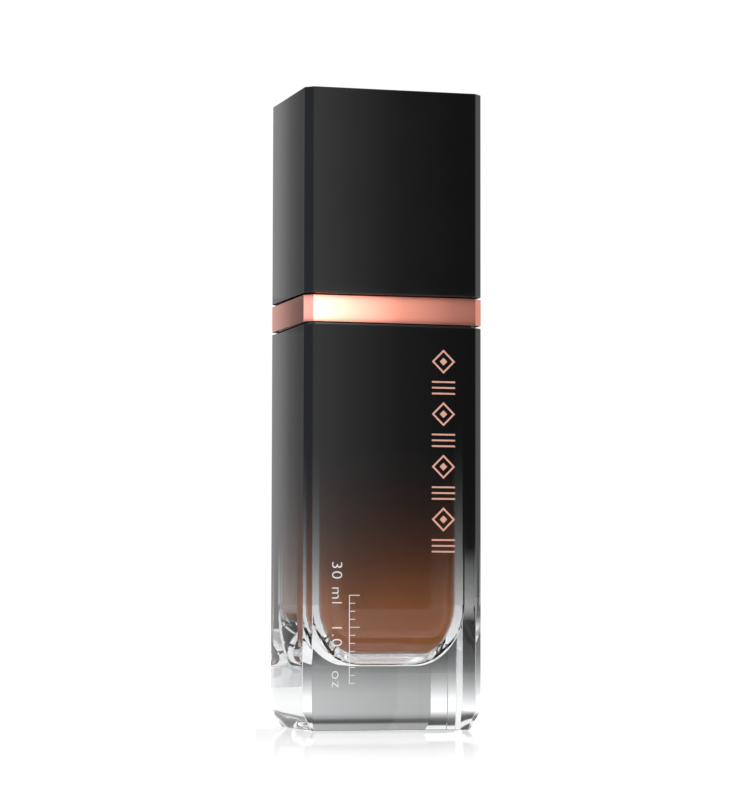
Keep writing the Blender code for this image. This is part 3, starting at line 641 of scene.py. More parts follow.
def faded_lacquer(tree, place):
    """Clear acrylic sprayed with black lacquer that thins out to nothing near the foot."""
    glass, drift, normal = grained(tree, place, "polished_acrylic")
    coat = add(tree, "ShaderNodeBsdfPrincipled", {"IOR": 1.50, "Roughness": 0.03},
               {"Base Color": tone(tree, drift, ("lacquer", 0.9), ("lacquer", 1.0)),
                "Normal": normal})
    # Spray droplets are about 0.05 mm, drawn at 0.25 mm so that they show
    shift = add(tree, "ShaderNodeMapRange", {"To Min": -0.4 * MM, "To Max": 0.4 * MM},
                {"Value": noise(tree, place, 0.25, 2.0)})
    height = add(tree, "ShaderNodeSeparateXYZ", None, {"Vector": place}).outputs["Z"]
    level = add(tree, "ShaderNodeMath", None, {0: height, 1: shift.outputs["Result"]},
                operation="ADD")
    reach = bpy.context.scene.bottle_sizes.lacquer_reach
    fade = ramp(tree, level.outputs["Value"],
                [(share * reach, grey(1 - clear)) for share, clear in LACQUER_FADE])
    return add(tree, "ShaderNodeMixShader", None,
               {0: fade, 1: glass, 2: coat.outputs["BSDF"]}).outputs["Shader"]


def seal_foam(tree, place):
    """Expanded polyethylene: matt, with closed cells about a quarter of a millimetre."""
    cells = add(tree, "ShaderNodeTexVoronoi", {"Scale": 1 / (0.25 * MM)},
                {"Vector": place}).outputs["Distance"]
    normal = add(tree, "ShaderNodeBump", {"Strength": 0.5, "Distance": 0.05 * MM},
                 {"Height": cells})
    return add(tree, "ShaderNodeBsdfPrincipled", {"IOR": 1.45, "Roughness": 0.8},
               {"Base Color": tone(tree, cells, "#C9C8C3", "#DEDDD8"),
                "Normal": normal.outputs["Normal"]}).outputs["BSDF"]


def drawn_steel(tree, place):
    """Drawn stainless wire and a ground ball: bright metal with fine drawing lines."""
    stretch = add(tree, "ShaderNodeMapping", {"Scale": (1.0, 1.0, 8.0)}, {"Vector": place})
    lines = noise(tree, stretch.outputs["Vector"], 0.4, 4.0)
    rough = add(tree, "ShaderNodeMapRange", {"To Min": 0.14, "To Max": 0.28},
                {"Value": lines})
    return add(tree, "ShaderNodeBsdfPrincipled", {"Metallic": 1.0},
               {"Base Color": tone(tree, lines, "#C2C0BC", "#D2D0CC"),
                "Roughness": rough.outputs["Result"]}).outputs["BSDF"]


OWN_WAY = {
    "lacquered_acrylic": faded_lacquer,
    "polyethylene_foam": seal_foam,
    "drawn_stainless": drawn_steel,
}


def finish(name):
    """A finish by name, made once."""
    made = bpy.data.materials.get(name)
    if made is None:
        made, tree, place = blank(name)
        if name in OWN_WAY:
            surface = OWN_WAY[name](tree, place)
        else:
            surface = grained(tree, place, name)[0]
        add(tree, "ShaderNodeOutputMaterial", None, {"Surface": surface})
    return made


# ---------------------------------------------------------------- pieces

class BOTTLE_OT_clear_shell(bpy.types.Operator):
    """Clear outer shell with a solid foot, its lacquer and its tongue"""

    bl_idname = "bottle.clear_shell"
    bl_label = "Clear shell"

    def execute(self, context):
        bm = block(WIDTH, DEPTH, FLOOR + FOOT_HEIGHT, BODY_TOP, EDGE_CHAMFER)
        bmesh.ops.inset_region(bm, faces=[end_face(bm, -1)], thickness=FOOT_INSET,
                               depth=FOOT_HEIGHT, use_even_offset=True)
        drop_face(bm, step_in(bm, end_face(bm, 1), TONGUE_SETBACK, TONGUE_HEIGHT))
        cavity_width = INNER_WIDTH + 2 * GAP
        cavity = tub(cavity_width, INNER_DEPTH + 2 * GAP, INNER_CORNER + GAP,
                     INNER_LOW.z - GAP, INNER_ROUNDING + GAP, SHELL_HIGH.z)
        for face in cavity.faces:
            face.material_index = 1
        take_in(bm, cavity)
        bridge(bm, SHELL_HIGH.z, WIDTH / 2 - TONGUE_SETBACK, cavity_width / 2)
        seal(bm)
        settle("clear_shell", bm, ["lacquered_acrylic", "polished_acrylic"], "bottle",
               ["outer_shell"], context.scene.bottle_sizes.acrylic_round,
               3)
        return {"FINISHED"}


class BOTTLE_OT_inner_bottle(bpy.types.Operator):
    """Clear inner bottle with its flange, neck and thread"""

    bl_idname = "bottle.inner_bottle"
    bl_label = "Inner bottle"

    def execute(self, context):
        inside = INNER_WIDTH - 2 * INNER_WALL
        bore = NECK_RADIUS - NECK_WALL
        bm = tub(INNER_WIDTH, INNER_DEPTH, INNER_CORNER, INNER_LOW.z, INNER_ROUNDING,
                 FLANGE_BOTTOM)
        flange_width = WIDTH - 2 * (TONGUE_SETBACK + GAP)
        flange = block(flange_width, DEPTH - 2 * (TONGUE_SETBACK + GAP), FLANGE_BOTTOM,
                       FLANGE_TOP, INNER_CORNER, CORNER_STEPS)
        drop_face(flange, end_face(flange, 1))
        drop_face(flange, end_face(flange, -1))
        take_in(bm, flange)
        bridge(bm, FLANGE_BOTTOM, INNER_WIDTH / 2, flange_width / 2)
        take_in(bm, turned([(NECK_RADIUS, FLANGE_TOP), (NECK_RADIUS, INNER_HIGH.z),
                            (bore, INNER_HIGH.z), (bore, FLANGE_BOTTOM)], closed=False))
        bridge(bm, FLANGE_TOP, flange_width / 2, NECK_RADIUS)
        take_in(bm, tub(inside, INNER_DEPTH - 2 * INNER_WALL, INNER_CORNER - INNER_WALL,
                        INNER_LOW.z + INNER_WALL, INNER_ROUNDING - INNER_WALL,
                        FLANGE_BOTTOM))
        bridge(bm, FLANGE_BOTTOM, bore, inside / 2)
        seal(bm)
        take_in(bm, thread(NECK_RADIUS - GAP, NECK_RADIUS + THREAD_RIDGE, THREAD_START))
        settle("inner_bottle_clear", bm, ["clear_copolyester"], "bottle",
               ["inner_bottle"],
               context.scene.bottle_sizes.moulded_round)
        return {"FINISHED"}


class BOTTLE_OT_liquid(bpy.types.Operator):
    """Liquid foundation, which wets the inner bottle and stands round the pump"""

    bl_idname = "bottle.liquid"
    bl_label = "Liquid"

    def execute(self, context):
        shrink = INNER_WALL - WETTING
        width = INNER_WIDTH - 2 * shrink
        bm = tub(width, INNER_DEPTH - 2 * shrink, INNER_CORNER - shrink,
                 INNER_LOW.z + shrink, INNER_ROUNDING - shrink, LIQUID_LEVEL)
        room = HOUSING_RADIUS + GAP
        tail = TAIL_RADIUS + GAP
        tail_top = BALL_SEAT - GAP
        tail_foot = HOUSING_LOW.z - GAP
        tube = TUBE_RADIUS + GAP
        tube_foot = TUBE_LOW.z - GAP
        take_in(bm, turned([(room, LIQUID_LEVEL), (room, tail_top), (tail, tail_top),
                            (tail, tail_foot), (tube, tail_foot), (tube, tube_foot),
                            (0, tube_foot)], closed=False))
        bridge(bm, LIQUID_LEVEL, width / 2, room)
        seal(bm)
        settle("liquid_body", bm, ["foundation_emulsion"], "bottle",
               ["foundation_fill"])
        return {"FINISHED"}


class BOTTLE_OT_shoulder(bpy.types.Operator):
    """Plated shoulder ring with the spigot that the cap grips"""

    bl_idname = "bottle.shoulder"
    bl_label = "Shoulder ring"

    def execute(self, context):
        deck = BAND_TOP - DECK_THICKNESS
        hole = NECK_RADIUS + THREAD_RIDGE + GAP
        pocket = TONGUE_SETBACK - GAP
        bm = block(WIDTH, DEPTH, BAND_LOW.z, BAND_TOP, EDGE_CHAMFER)
        spigot = step_in(bm, end_face(bm, 1), SPIGOT_SETBACK, SPIGOT_HEIGHT)
        drop_face(bm, step_in(bm, spigot, SPIGOT_WALL, -SPIGOT_HEIGHT))
        drop_face(bm, step_in(bm, end_face(bm, -1), pocket, deck - BAND_LOW.z))
        take_in(bm, turned([(hole, BAND_TOP), (hole, deck)], closed=False))
        bridge(bm, BAND_TOP, WIDTH / 2 - SPIGOT_SETBACK - SPIGOT_WALL, hole)
        bridge(bm, deck, WIDTH / 2 - pocket, hole)
        seal(bm)
        settle("shoulder_band", bm, ["rose_gold_plated_abs"], "bottle",
               ["shoulder_ring"],
               context.scene.bottle_sizes.edge_round, 3)
        return {"FINISHED"}


class BOTTLE_OT_cap(bpy.types.Operator):
    """Gloss cap and the liner inside it"""

    bl_idname = "bottle.cap"
    bl_label = "Cap"

    def execute(self, context):
        sizes = context.scene.bottle_sizes
        bm = block(WIDTH, DEPTH, CAP_LOW.z, CAP_HIGH.z, EDGE_CHAMFER)
        step_in(bm, end_face(bm, -1), CAP_WALL, CAP_HIGH.z - CAP_TOP - CAP_LOW.z)
        seal(bm)
        settle("cap_gloss_shell", bm, ["gloss_black_abs"], "overcap",
               ["overcap_shell"], sizes.edge_round, 3)
        corner = EDGE_CHAMFER - (CAP_WALL + GAP) * (2 - math.sqrt(2))
        bm = block(LINER_HIGH.x - LINER_LOW.x, LINER_HIGH.y - LINER_LOW.y, LINER_LOW.z,
                   LINER_HIGH.z, corner)
        step_in(bm, end_face(bm, -1), CAP_WALL, LINER_HIGH.z - CAP_WALL - LINER_LOW.z)
        seal(bm)
        settle("cap_inside_liner", bm, ["satin_black_polypropylene"], "overcap",
               ["overcap_liner"], sizes.moulded_round)
        return {"FINISHED"}


class BOTTLE_OT_closure(bpy.types.Operator):
    """Screw closure, its plated cover and the neck gasket"""

    bl_idname = "bottle.closure"
    bl_label = "Closure"

    def execute(self, context):
        sizes = context.scene.bottle_sizes
        outside = CLOSURE_HIGH.x
        bore = outside - CLOSURE_WALL
        deck = CLOSURE_HIGH.z - CLOSURE_TOP
        hole = COLLAR_RADIUS + GAP
        bm = turned([(hole, CLOSURE_HIGH.z), (outside, CLOSURE_HIGH.z),
                     (outside, CLOSURE_LOW.z), (bore, CLOSURE_LOW.z), (bore, deck),
                     (hole, deck)])
        take_in(bm, thread(bore + GAP, bore - THREAD_RIDGE,
                           THREAD_START + THREAD_PITCH / 2))
        settle("closure_screw", bm, ["white_polypropylene"], "closure",
               ["closure"], sizes.moulded_round)
        rim = COVER_HIGH.x
        lip = rim - COVER_LIP
        inner = rim - COVER_WALL
        roof = COVER_HIGH.z - COVER_WALL
        bm = turned([(lip, COVER_HIGH.z), (rim, COVER_HIGH.z), (rim, COVER_LOW.z),
                     (inner, COVER_LOW.z), (inner, roof), (lip, roof)])
        settle("closure_plated_cover", bm, ["rose_gold_plated_abs"], "closure",
               ["closure_cover"], sizes.moulded_round, 3)
        inside = HOUSING_RADIUS + GAP
        bm = turned([(inside, GASKET_HIGH.z), (NECK_RADIUS, GASKET_HIGH.z),
                     (NECK_RADIUS, GASKET_LOW.z), (inside, GASKET_LOW.z)])
        settle("neck_seal", bm, ["polyethylene_foam"], "pump",
               ["neck_gasket"], sizes.moulded_round)
        return {"FINISHED"}


class BOTTLE_OT_pump(bpy.types.Operator):
    """Pump housing, guide, dip tube and inlet ball"""

    bl_idname = "bottle.pump"
    bl_label = "Pump"

    def execute(self, context):
        sizes = context.scene.bottle_sizes
        seat_foot = BALL_SEAT - (BALL_CHAMBER - INLET_RADIUS)
        socket_top = seat_foot - INLET_LENGTH
        flange = HOUSING_HIGH.z - HOUSING_FLANGE
        bm = turned([(NECK_RADIUS, HOUSING_HIGH.z), (NECK_RADIUS, flange),
                     (HOUSING_RADIUS, flange), (HOUSING_RADIUS, BALL_SEAT),
                     (TAIL_RADIUS, BALL_SEAT), (TAIL_RADIUS, HOUSING_LOW.z),
                     (TAIL_BORE, HOUSING_LOW.z), (TAIL_BORE, socket_top),
                     (INLET_RADIUS, socket_top), (INLET_RADIUS, seat_foot),
                     (BALL_CHAMBER, BALL_SEAT), (BALL_CHAMBER, HOUSING_FLOOR),
                     (HOUSING_BORE, HOUSING_FLOOR), (HOUSING_BORE, HOUSING_HIGH.z)])
        settle("pump_cylinder", bm, ["natural_polypropylene"], "pump",
               ["pump_housing"], sizes.moulded_round)
        flange = HOUSING_HIGH.z + GAP
        plug = HOUSING_BORE - GAP
        bore = STEM_RADIUS + GAP
        bm = turned([(COLLAR_RADIUS, GUIDE_HIGH.z), (COLLAR_RADIUS, flange + GUIDE_FLANGE),
                     (GUIDE_HIGH.x, flange + GUIDE_FLANGE), (GUIDE_HIGH.x, flange),
                     (plug, flange), (plug, GUIDE_LOW.z), (bore, GUIDE_LOW.z),
                     (bore, GUIDE_HIGH.z)])
        settle("stem_guide_bush", bm, ["white_polypropylene"], "pump",
               ["stem_guide"], sizes.moulded_round)
        bore = TUBE_RADIUS - TUBE_WALL
        bm = turned([(TUBE_RADIUS, TUBE_HIGH.z), (TUBE_RADIUS, TUBE_LOW.z),
                     (bore, TUBE_LOW.z), (bore, TUBE_HIGH.z)], FINE_STEPS)
        cut = bmesh.ops.bisect_plane(
            bm, geom=[*bm.verts, *bm.edges, *bm.faces], dist=MERGE,
            plane_co=(0, 0, TUBE_LOW.z + TUBE_SLANT / 2),
            plane_no=(TUBE_SLANT / (2 * TUBE_RADIUS), 0, 1), clear_inner=True)
        bmesh.ops.bridge_loops(bm, edges=picked(cut["geom_cut"], bmesh.types.BMEdge))
        seal(bm)
        settle("dip_tube_natural", bm, ["natural_polypropylene"], "pump",
               ["dip_tube"])
        bm = bmesh.new()
        bmesh.ops.create_icosphere(bm, subdivisions=BALL_DIVISIONS, radius=BALL_HIGH.x)
        move_form(bm, 0, 0, (BALL_LOW.z + BALL_HIGH.z) / 2)
        settle("inlet_steel_ball", bm, ["drawn_stainless"], "valve_ball",
               ["inlet_ball"])
        return {"FINISHED"}


class BOTTLE_OT_plunger(bpy.types.Operator):
    """Stem, plunger core and piston"""

    bl_idname = "bottle.plunger"
    bl_label = "Plunger"

    def execute(self, context):
        sizes = context.scene.bottle_sizes
        ledge = STEM_LOW.z + STEM_FOOT
        foot = STEM_HIGH.x
        bm = turned([(STEM_RADIUS, STEM_HIGH.z), (STEM_RADIUS, ledge), (foot, ledge),
                     (foot, STEM_LOW.z), (STEM_BORE, STEM_LOW.z),
                     (STEM_BORE, STEM_HIGH.z)], FINE_STEPS)
        settle("hollow_stem", bm, ["natural_polypropylene"], "plunger",
               ["stem"], sizes.moulded_round)
        pin = STEM_BORE - GAP
        shaft_top = STEM_LOW.z - GAP
        disc_top = PISTON_LOW.z - GAP
        disc = CORE_HIGH.x
        bm = turned([(0, CORE_HIGH.z), (pin, CORE_HIGH.z), (pin, shaft_top),
                     (SHAFT_RADIUS, shaft_top), (SHAFT_RADIUS, disc_top),
                     (disc, disc_top), (disc, CORE_LOW.z), (0, CORE_LOW.z)], FINE_STEPS)
        settle("plunger_foot", bm, ["white_polypropylene"], "plunger",
               ["plunger_core"], sizes.moulded_round)
        low, high = PISTON_LOW.z, PISTON_HIGH.z
        bore = SHAFT_RADIUS + GAP
        rim = PISTON_HIGH.x
        bm = turned([(rim, high), (rim, high - PISTON_LIP),
                     (PISTON_WAIST, high - PISTON_GROOVE),
                     (PISTON_WAIST, low + PISTON_GROOVE), (rim, low + PISTON_LIP),
                     (rim, low), (bore, low), (bore, high)], FINE_STEPS)
        settle("piston_lips", bm, ["natural_polypropylene"], "piston",
               ["piston"], sizes.moulded_round)
        return {"FINISHED"}


class BOTTLE_OT_spring(bpy.types.Operator):
    """Return spring, which shortens as the actuator goes down; here it is built as one
    fixed coil
    """

    bl_idname = "bottle.spring"
    bl_label = "Spring"

    def execute(self, context):
        wire = SPRING_WIRE / 2
        section = [(SPRING_HIGH.x - wire + wire * math.cos(TURN * side / SPRING_SIDES),
                    SPRING_LOW.z + wire + wire * math.sin(TURN * side / SPRING_SIDES))
                   for side in range(SPRING_SIDES)]
        rise = SPRING_HIGH.z - SPRING_LOW.z - SPRING_WIRE
        bm = coil(section, SPRING_TURNS, rise / SPRING_TURNS, SPRING_STEPS)
        spring = settle("return_spring_wire", bm, ["drawn_stainless"], "pump",
                        ["return_spring"])
        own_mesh(spring)
        return {"FINISHED"}


class BOTTLE_OT_actuator(bpy.types.Operator):
    """Actuator core, its gloss shell and the nozzle"""

    bl_idname = "bottle.actuator"
    bl_label = "Actuator"

    def execute(self, context):
        self.make_hub()
        self.make_button()
        far = NOZZLE_LENGTH - NOZZLE_EDGE
        tip = turned([(NOZZLE_RADIUS, far), (NOZZLE_RADIUS, 0), (CHANNEL_RADIUS, 0),
                      (CHANNEL_RADIUS, far), (CHANNEL_RADIUS + NOZZLE_EDGE, NOZZLE_LENGTH),
                      (NOZZLE_RADIUS - NOZZLE_EDGE, NOZZLE_LENGTH)], FINE_STEPS)
        settle("nozzle_insert", sideways(tip, -NOZZLE_HIGH.y), ["rose_gold_plated_abs"],
               "head", ["nozzle_tip"], NOZZLE_ROUND)
        return {"FINISHED"}

    def make_hub(self):
        """Hub on the stem, its skirt, and the boss with the channel to the nozzle."""
        foot, deck = HUB_LOW.z, HUB_HIGH.z
        deck_foot = deck - HUB_DECK
        skirt = HUB_HIGH.x
        bore = skirt - SKIRT_WALL
        socket = STEM_RADIUS + GAP
        channel_foot = foot + SOCKET_DEPTH
        bm = turned([(0, deck), (skirt, deck), (skirt, foot + GAP), (bore, foot + GAP),
                     (bore, deck_foot), (HUB_RADIUS, deck_foot), (HUB_RADIUS, foot),
                     (socket, foot), (socket, channel_foot), (STEM_BORE, channel_foot),
                     (STEM_BORE, NOZZLE_LEVEL), (0, NOZZLE_LEVEL)])
        seat = -NOZZLE_HIGH.y - GAP
        bm = with_rod(bm, BOSS_RADIUS, HUB_RADIUS - GAP, skirt - SKIRT_WALL / 2, "UNION")
        bm = with_rod(bm, NOZZLE_ROOM, seat, skirt + MM, "DIFFERENCE")
        bm = with_rod(bm, CHANNEL_RADIUS, 0, seat + MM, "DIFFERENCE")
        settle("actuator_hub", bm, ["white_polypropylene"], "head",
               ["actuator_core"])

    def make_button(self):
        """Gloss shell with its finger dish, rounded rim and nozzle window."""
        radius, top = BUTTON_HIGH.x, BUTTON_HIGH.z
        inside = radius - BUTTON_WALL
        roof = top - BUTTON_TOP - BUTTON_DISH
        dish_radius = radius - BUTTON_RIM
        profile = [(0, top - BUTTON_DISH)]
        for step in range(1, DISH_STEPS + 1):
            share = step / DISH_STEPS
            profile.append((dish_radius * share, top - BUTTON_DISH * (1 - share * share)))
        for step in range(1, RIM_STEPS + 1):
            angle = RIGHT_ANGLE * step / RIM_STEPS
            profile.append((dish_radius + BUTTON_RIM * math.sin(angle),
                            top - BUTTON_RIM * (1 - math.cos(angle))))
        profile += [(radius, BUTTON_LOW.z), (inside, BUTTON_LOW.z), (inside, roof),
                    (0, roof)]
        bm = with_rod(turned(profile), NOZZLE_ROOM, inside - MM, radius + MM, "DIFFERENCE")
        settle("actuator_button", bm, ["gloss_black_abs"], "head",
               ["actuator_shell"])


class BOTTLE_OT_decoration(bpy.types.Operator):
    """Stamped ornament and the printed contents line on the front face"""

    bl_idname = "bottle.decoration"
    bl_label = "Decoration"

    def execute(self, context):
        self.height = context.scene.bottle_sizes.print_height
        marks = bmesh.new()
        for index in range(MARK_COUNT):
            level = MARK_TOP - MARK_PITCH * index
            if index % 2:
                for offset in (-BAR_PITCH, 0.0, BAR_PITCH):
                    take_in(marks, self.bar(MARK_X, level + offset, BAR_LENGTH, BAR_LINE))
            else:
                take_in(marks, self.diamond(level, DIAMOND_HALF, DIAMOND_LINE))
                take_in(marks, self.diamond(level, DIAMOND_HEART, 0.0))
        settle("stamped_ornament", marks, ["rose_stamping_foil"], "bottle",
               [])
        settle("contents_print", self.contents_line(), ["white_screen_ink"], "bottle",
               [])
        rule = bmesh.new()
        for index in range(LEVEL_COUNT):
            reach = LEVEL_SHORT if index % LEVELS_PER_LONG else LEVEL_LONG
            take_in(rule, self.bar(LEVEL_X + reach / 2, LEVEL_TOP - LEVEL_PITCH * index,
                                   reach, LEVEL_LINE))
        tall = LEVEL_PITCH * (LEVEL_COUNT - 1)
        take_in(rule, self.bar(RULE_X, LEVEL_TOP - tall / 2, LEVEL_LINE,
                               tall + LEVEL_LINE))
        settle("level_marks_print", rule, ["white_screen_ink"], "bottle",
               [])
        return {"FINISHED"}

    def bar(self, x, z, width, tall):
        """A flat bar that stands on the front face."""
        bm = bmesh.new()
        bmesh.ops.create_cube(bm, size=1.0)
        bmesh.ops.scale(bm, vec=(width, self.height, tall), verts=bm.verts)
        move_form(bm, x, FRONT - self.height / 2, z)
        return bm

    def stand(self, bm, x, z):
        """Thicken a flat form, and stand it on the front face."""
        made = bmesh.ops.extrude_face_region(bm, geom=list(bm.faces))
        bmesh.ops.translate(bm, vec=(0, 0, self.height),
                            verts=picked(made["geom"], bmesh.types.BMVert))
        turn_form(bm, RIGHT_ANGLE, "X")
        move_form(bm, x, FRONT, z)
        bmesh.ops.recalc_face_normals(bm, faces=bm.faces)
        return bm

    def diamond(self, z, half, line):
        """A flat diamond, open inside where it has a line width."""
        bm = bmesh.new()
        bmesh.ops.create_circle(bm, cap_ends=True, segments=4, radius=half)
        if line:
            faces = list(bm.faces)
            bmesh.ops.inset_region(bm, faces=faces, thickness=line, use_even_offset=True,
                                   use_boundary=True)
            bmesh.ops.delete(bm, geom=faces, context="FACES_ONLY")
        return self.stand(bm, MARK_X, z)

    def contents_line(self):
        """Generic contents line that reads downwards."""
        curve = bpy.data.curves.new("contents_line", "FONT")
        curve.body = CONTENTS
        curve.size = LETTER_SIZE
        curve.space_character = LETTER_SPACING
        curve.offset = LETTER_THINNING
        curve.resolution_u = LETTER_CURVE_STEPS
        text = linked("contents_line", curve)
        bpy.context.view_layer.update()
        flat = bpy.data.meshes.new_from_object(
            text.evaluated_get(bpy.context.evaluated_depsgraph_get()))
        bpy.data.objects.remove(text)
        bpy.data.curves.remove(curve)
        bm = bmesh.new()
        bm.from_mesh(flat)
        bpy.data.meshes.remove(flat)
        bmesh.ops.remove_doubles(bm, verts=bm.verts, dist=MERGE)
        loose = [edge for edge in bm.edges if edge.is_wire]
        bmesh.ops.delete(bm, geom=loose, context="EDGES")
        across = [vert.co.x for vert in bm.verts]
        upward = [vert.co.y for vert in bm.verts]
        low, span = min(across), max(across) - min(across)
        move_form(bm, -low, -(min(upward) + max(upward)) / 2, 0)
        bmesh.ops.scale(bm, vec=(CONTENTS_LENGTH / span, 1, 1), verts=bm.verts)
        turn_form(bm, -RIGHT_ANGLE, "Z")
        return self.stand(bm, CONTENTS_X, CONTENTS_TOP)


# ---------------------------------------------------------------- stage

# Levels at which the cards behind the bottle are bright: height in millimetres, share
BACK_LEVELS = [(0, 1.0), (7, 0.95), (11.5, 0.66), (15, 0.2), (19, 0.12), (23, 0.8),
               (38, 0.8), (42, 0.1)]
SIDE_LEVELS = [(0, 1.15), (5, 1.15), (7, 0.8), (9.4, 0.5), (12.3, 0.25), (15, 0.11),
               (20, 0.05), (24, 0.05), (27, 0.9), (36, 0.9), (40, 0.05)]
COOL = (0.40, 0.43, 0.50)

# Upright cards, in millimetres: the axis each runs along, its ends, its place across, its
# foot and top, its brightness or colour along the axis, and what else it has
CARDS = {
    "front_card": ("X", 8, 95, -170, 1, 180,
                   [(20, 0.97), (25.9, 0.86), (32.1, 0.60), (38.3, 0.41), (45.8, 0.22),
                    (53.3, 0.155), (58.9, 0.105), (66, 0.08)],
                   {"strip": (91.9, 98.3, 4.8)}),
    "left_card": ("X", -110, -58, 200, 1, 175,
                  [(-76, 0.17), (-70.6, 0.21), (-67.8, 0.33), (-65.2, 0.62), (-62, 0.95)],
                  {"strip": (94.5, 103, 0.85)}),
    "edge_card": ("Y", -120, -5, -200, 1, 175, [(-120, COOL), (-5, COOL)],
                  {"strip": (94.5, 101.1, 3.6)}),
    "back_card": ("X", 5, 44, 120, -1, 145, [(15, 0.56), (32, 0.47), (44, 0.42)],
                  {"levels": BACK_LEVELS}),
    "side_card": ("X", -40, 5, 120, -1, 145, [(-40, 1.0), (5, 1.0)],
                  {"levels": SIDE_LEVELS}),
    "far_card": ("X", 44, 100, 120, -1, 145, [(44, 1.0), (100, 1.0)],
                 {"levels": SIDE_LEVELS}),
    "front_flag": ("X", 14, 56, -172, -1, 180, [(14, 0.08), (56, 0.08)],
                   {"levels": [(0, 1.0), (180, 1.0)], "inner": True}),
}
TOP_CARD = (260, 700, [(-260, 1.0), (260, 0.8)], 2.0)


def stops_in_metres(stops):
    """Stops with their places in metres and their shares as colours."""
    return [(spot * MM, share if isinstance(share, tuple) else grey(share))
            for spot, share in stops]


def strip_light(tree, height, low, high, gain):
    """Strength of a card that is brighter, or duller, in a level strip."""
    rise, fall = [
        add(tree, "ShaderNodeMapRange",
            {"From Min": edge * MM - STRIP_EDGE, "From Max": edge * MM + STRIP_EDGE,
             "To Min": start, "To Max": 1.0 - start}, {"Value": height}).outputs["Result"]
        for edge, start in ((low, 0.0), (high, 1.0))]
    both = add(tree, "ShaderNodeMath", None, {0: rise, 1: fall}, operation="MULTIPLY")
    return add(tree, "ShaderNodeMapRange", {"To Min": 1.0, "To Max": gain},
               {"Value": both.outputs["Value"]}).outputs["Result"]


def reflector(name, corners, axis, stops, strength=1.0, strip=None, levels=None,
              inner=False):
    """A soft light card: brightness runs along one axis, with a brighter strip if asked.

    Levels make it a card that is seen through the acrylic, with a share for each height.
    An inner card is seen only by light that a wall inside the bottle has sent back.
    """
    bm = bmesh.new()
    bm.faces.new([bm.verts.new(Vector(corner) * MM) for corner in corners])
    card = as_object(name, bm)
    card.visible_camera = False
    card.visible_transmission = levels is not None
    made, tree, place = blank(name + "_light")
    parts = add(tree, "ShaderNodeSeparateXYZ", None, {"Vector": place}).outputs
    links = {"Color": ramp(tree, parts[axis], stops_in_metres(stops))}
    if strip:
        links["Strength"] = strip_light(tree, parts["Z"], *strip)
    if levels:
        links["Strength"] = ramp(tree, parts["Z"], stops_in_metres(levels))
    surface = add(tree, "ShaderNodeEmission", {"Strength": strength},
                  links).outputs["Emission"]
    if inner:
        card.visible_glossy = False
        card.visible_diffuse = False
        bounced = add(tree, "ShaderNodeLightPath").outputs["Glossy Depth"]
        clear = add(tree, "ShaderNodeBsdfTransparent").outputs["BSDF"]
        surface = add(tree, "ShaderNodeMixShader", None,
                      {0: bounced, 1: clear, 2: surface}).outputs["Shader"]
    add(tree, "ShaderNodeOutputMaterial", None, {"Surface": surface})
    card.data.materials.append(made)


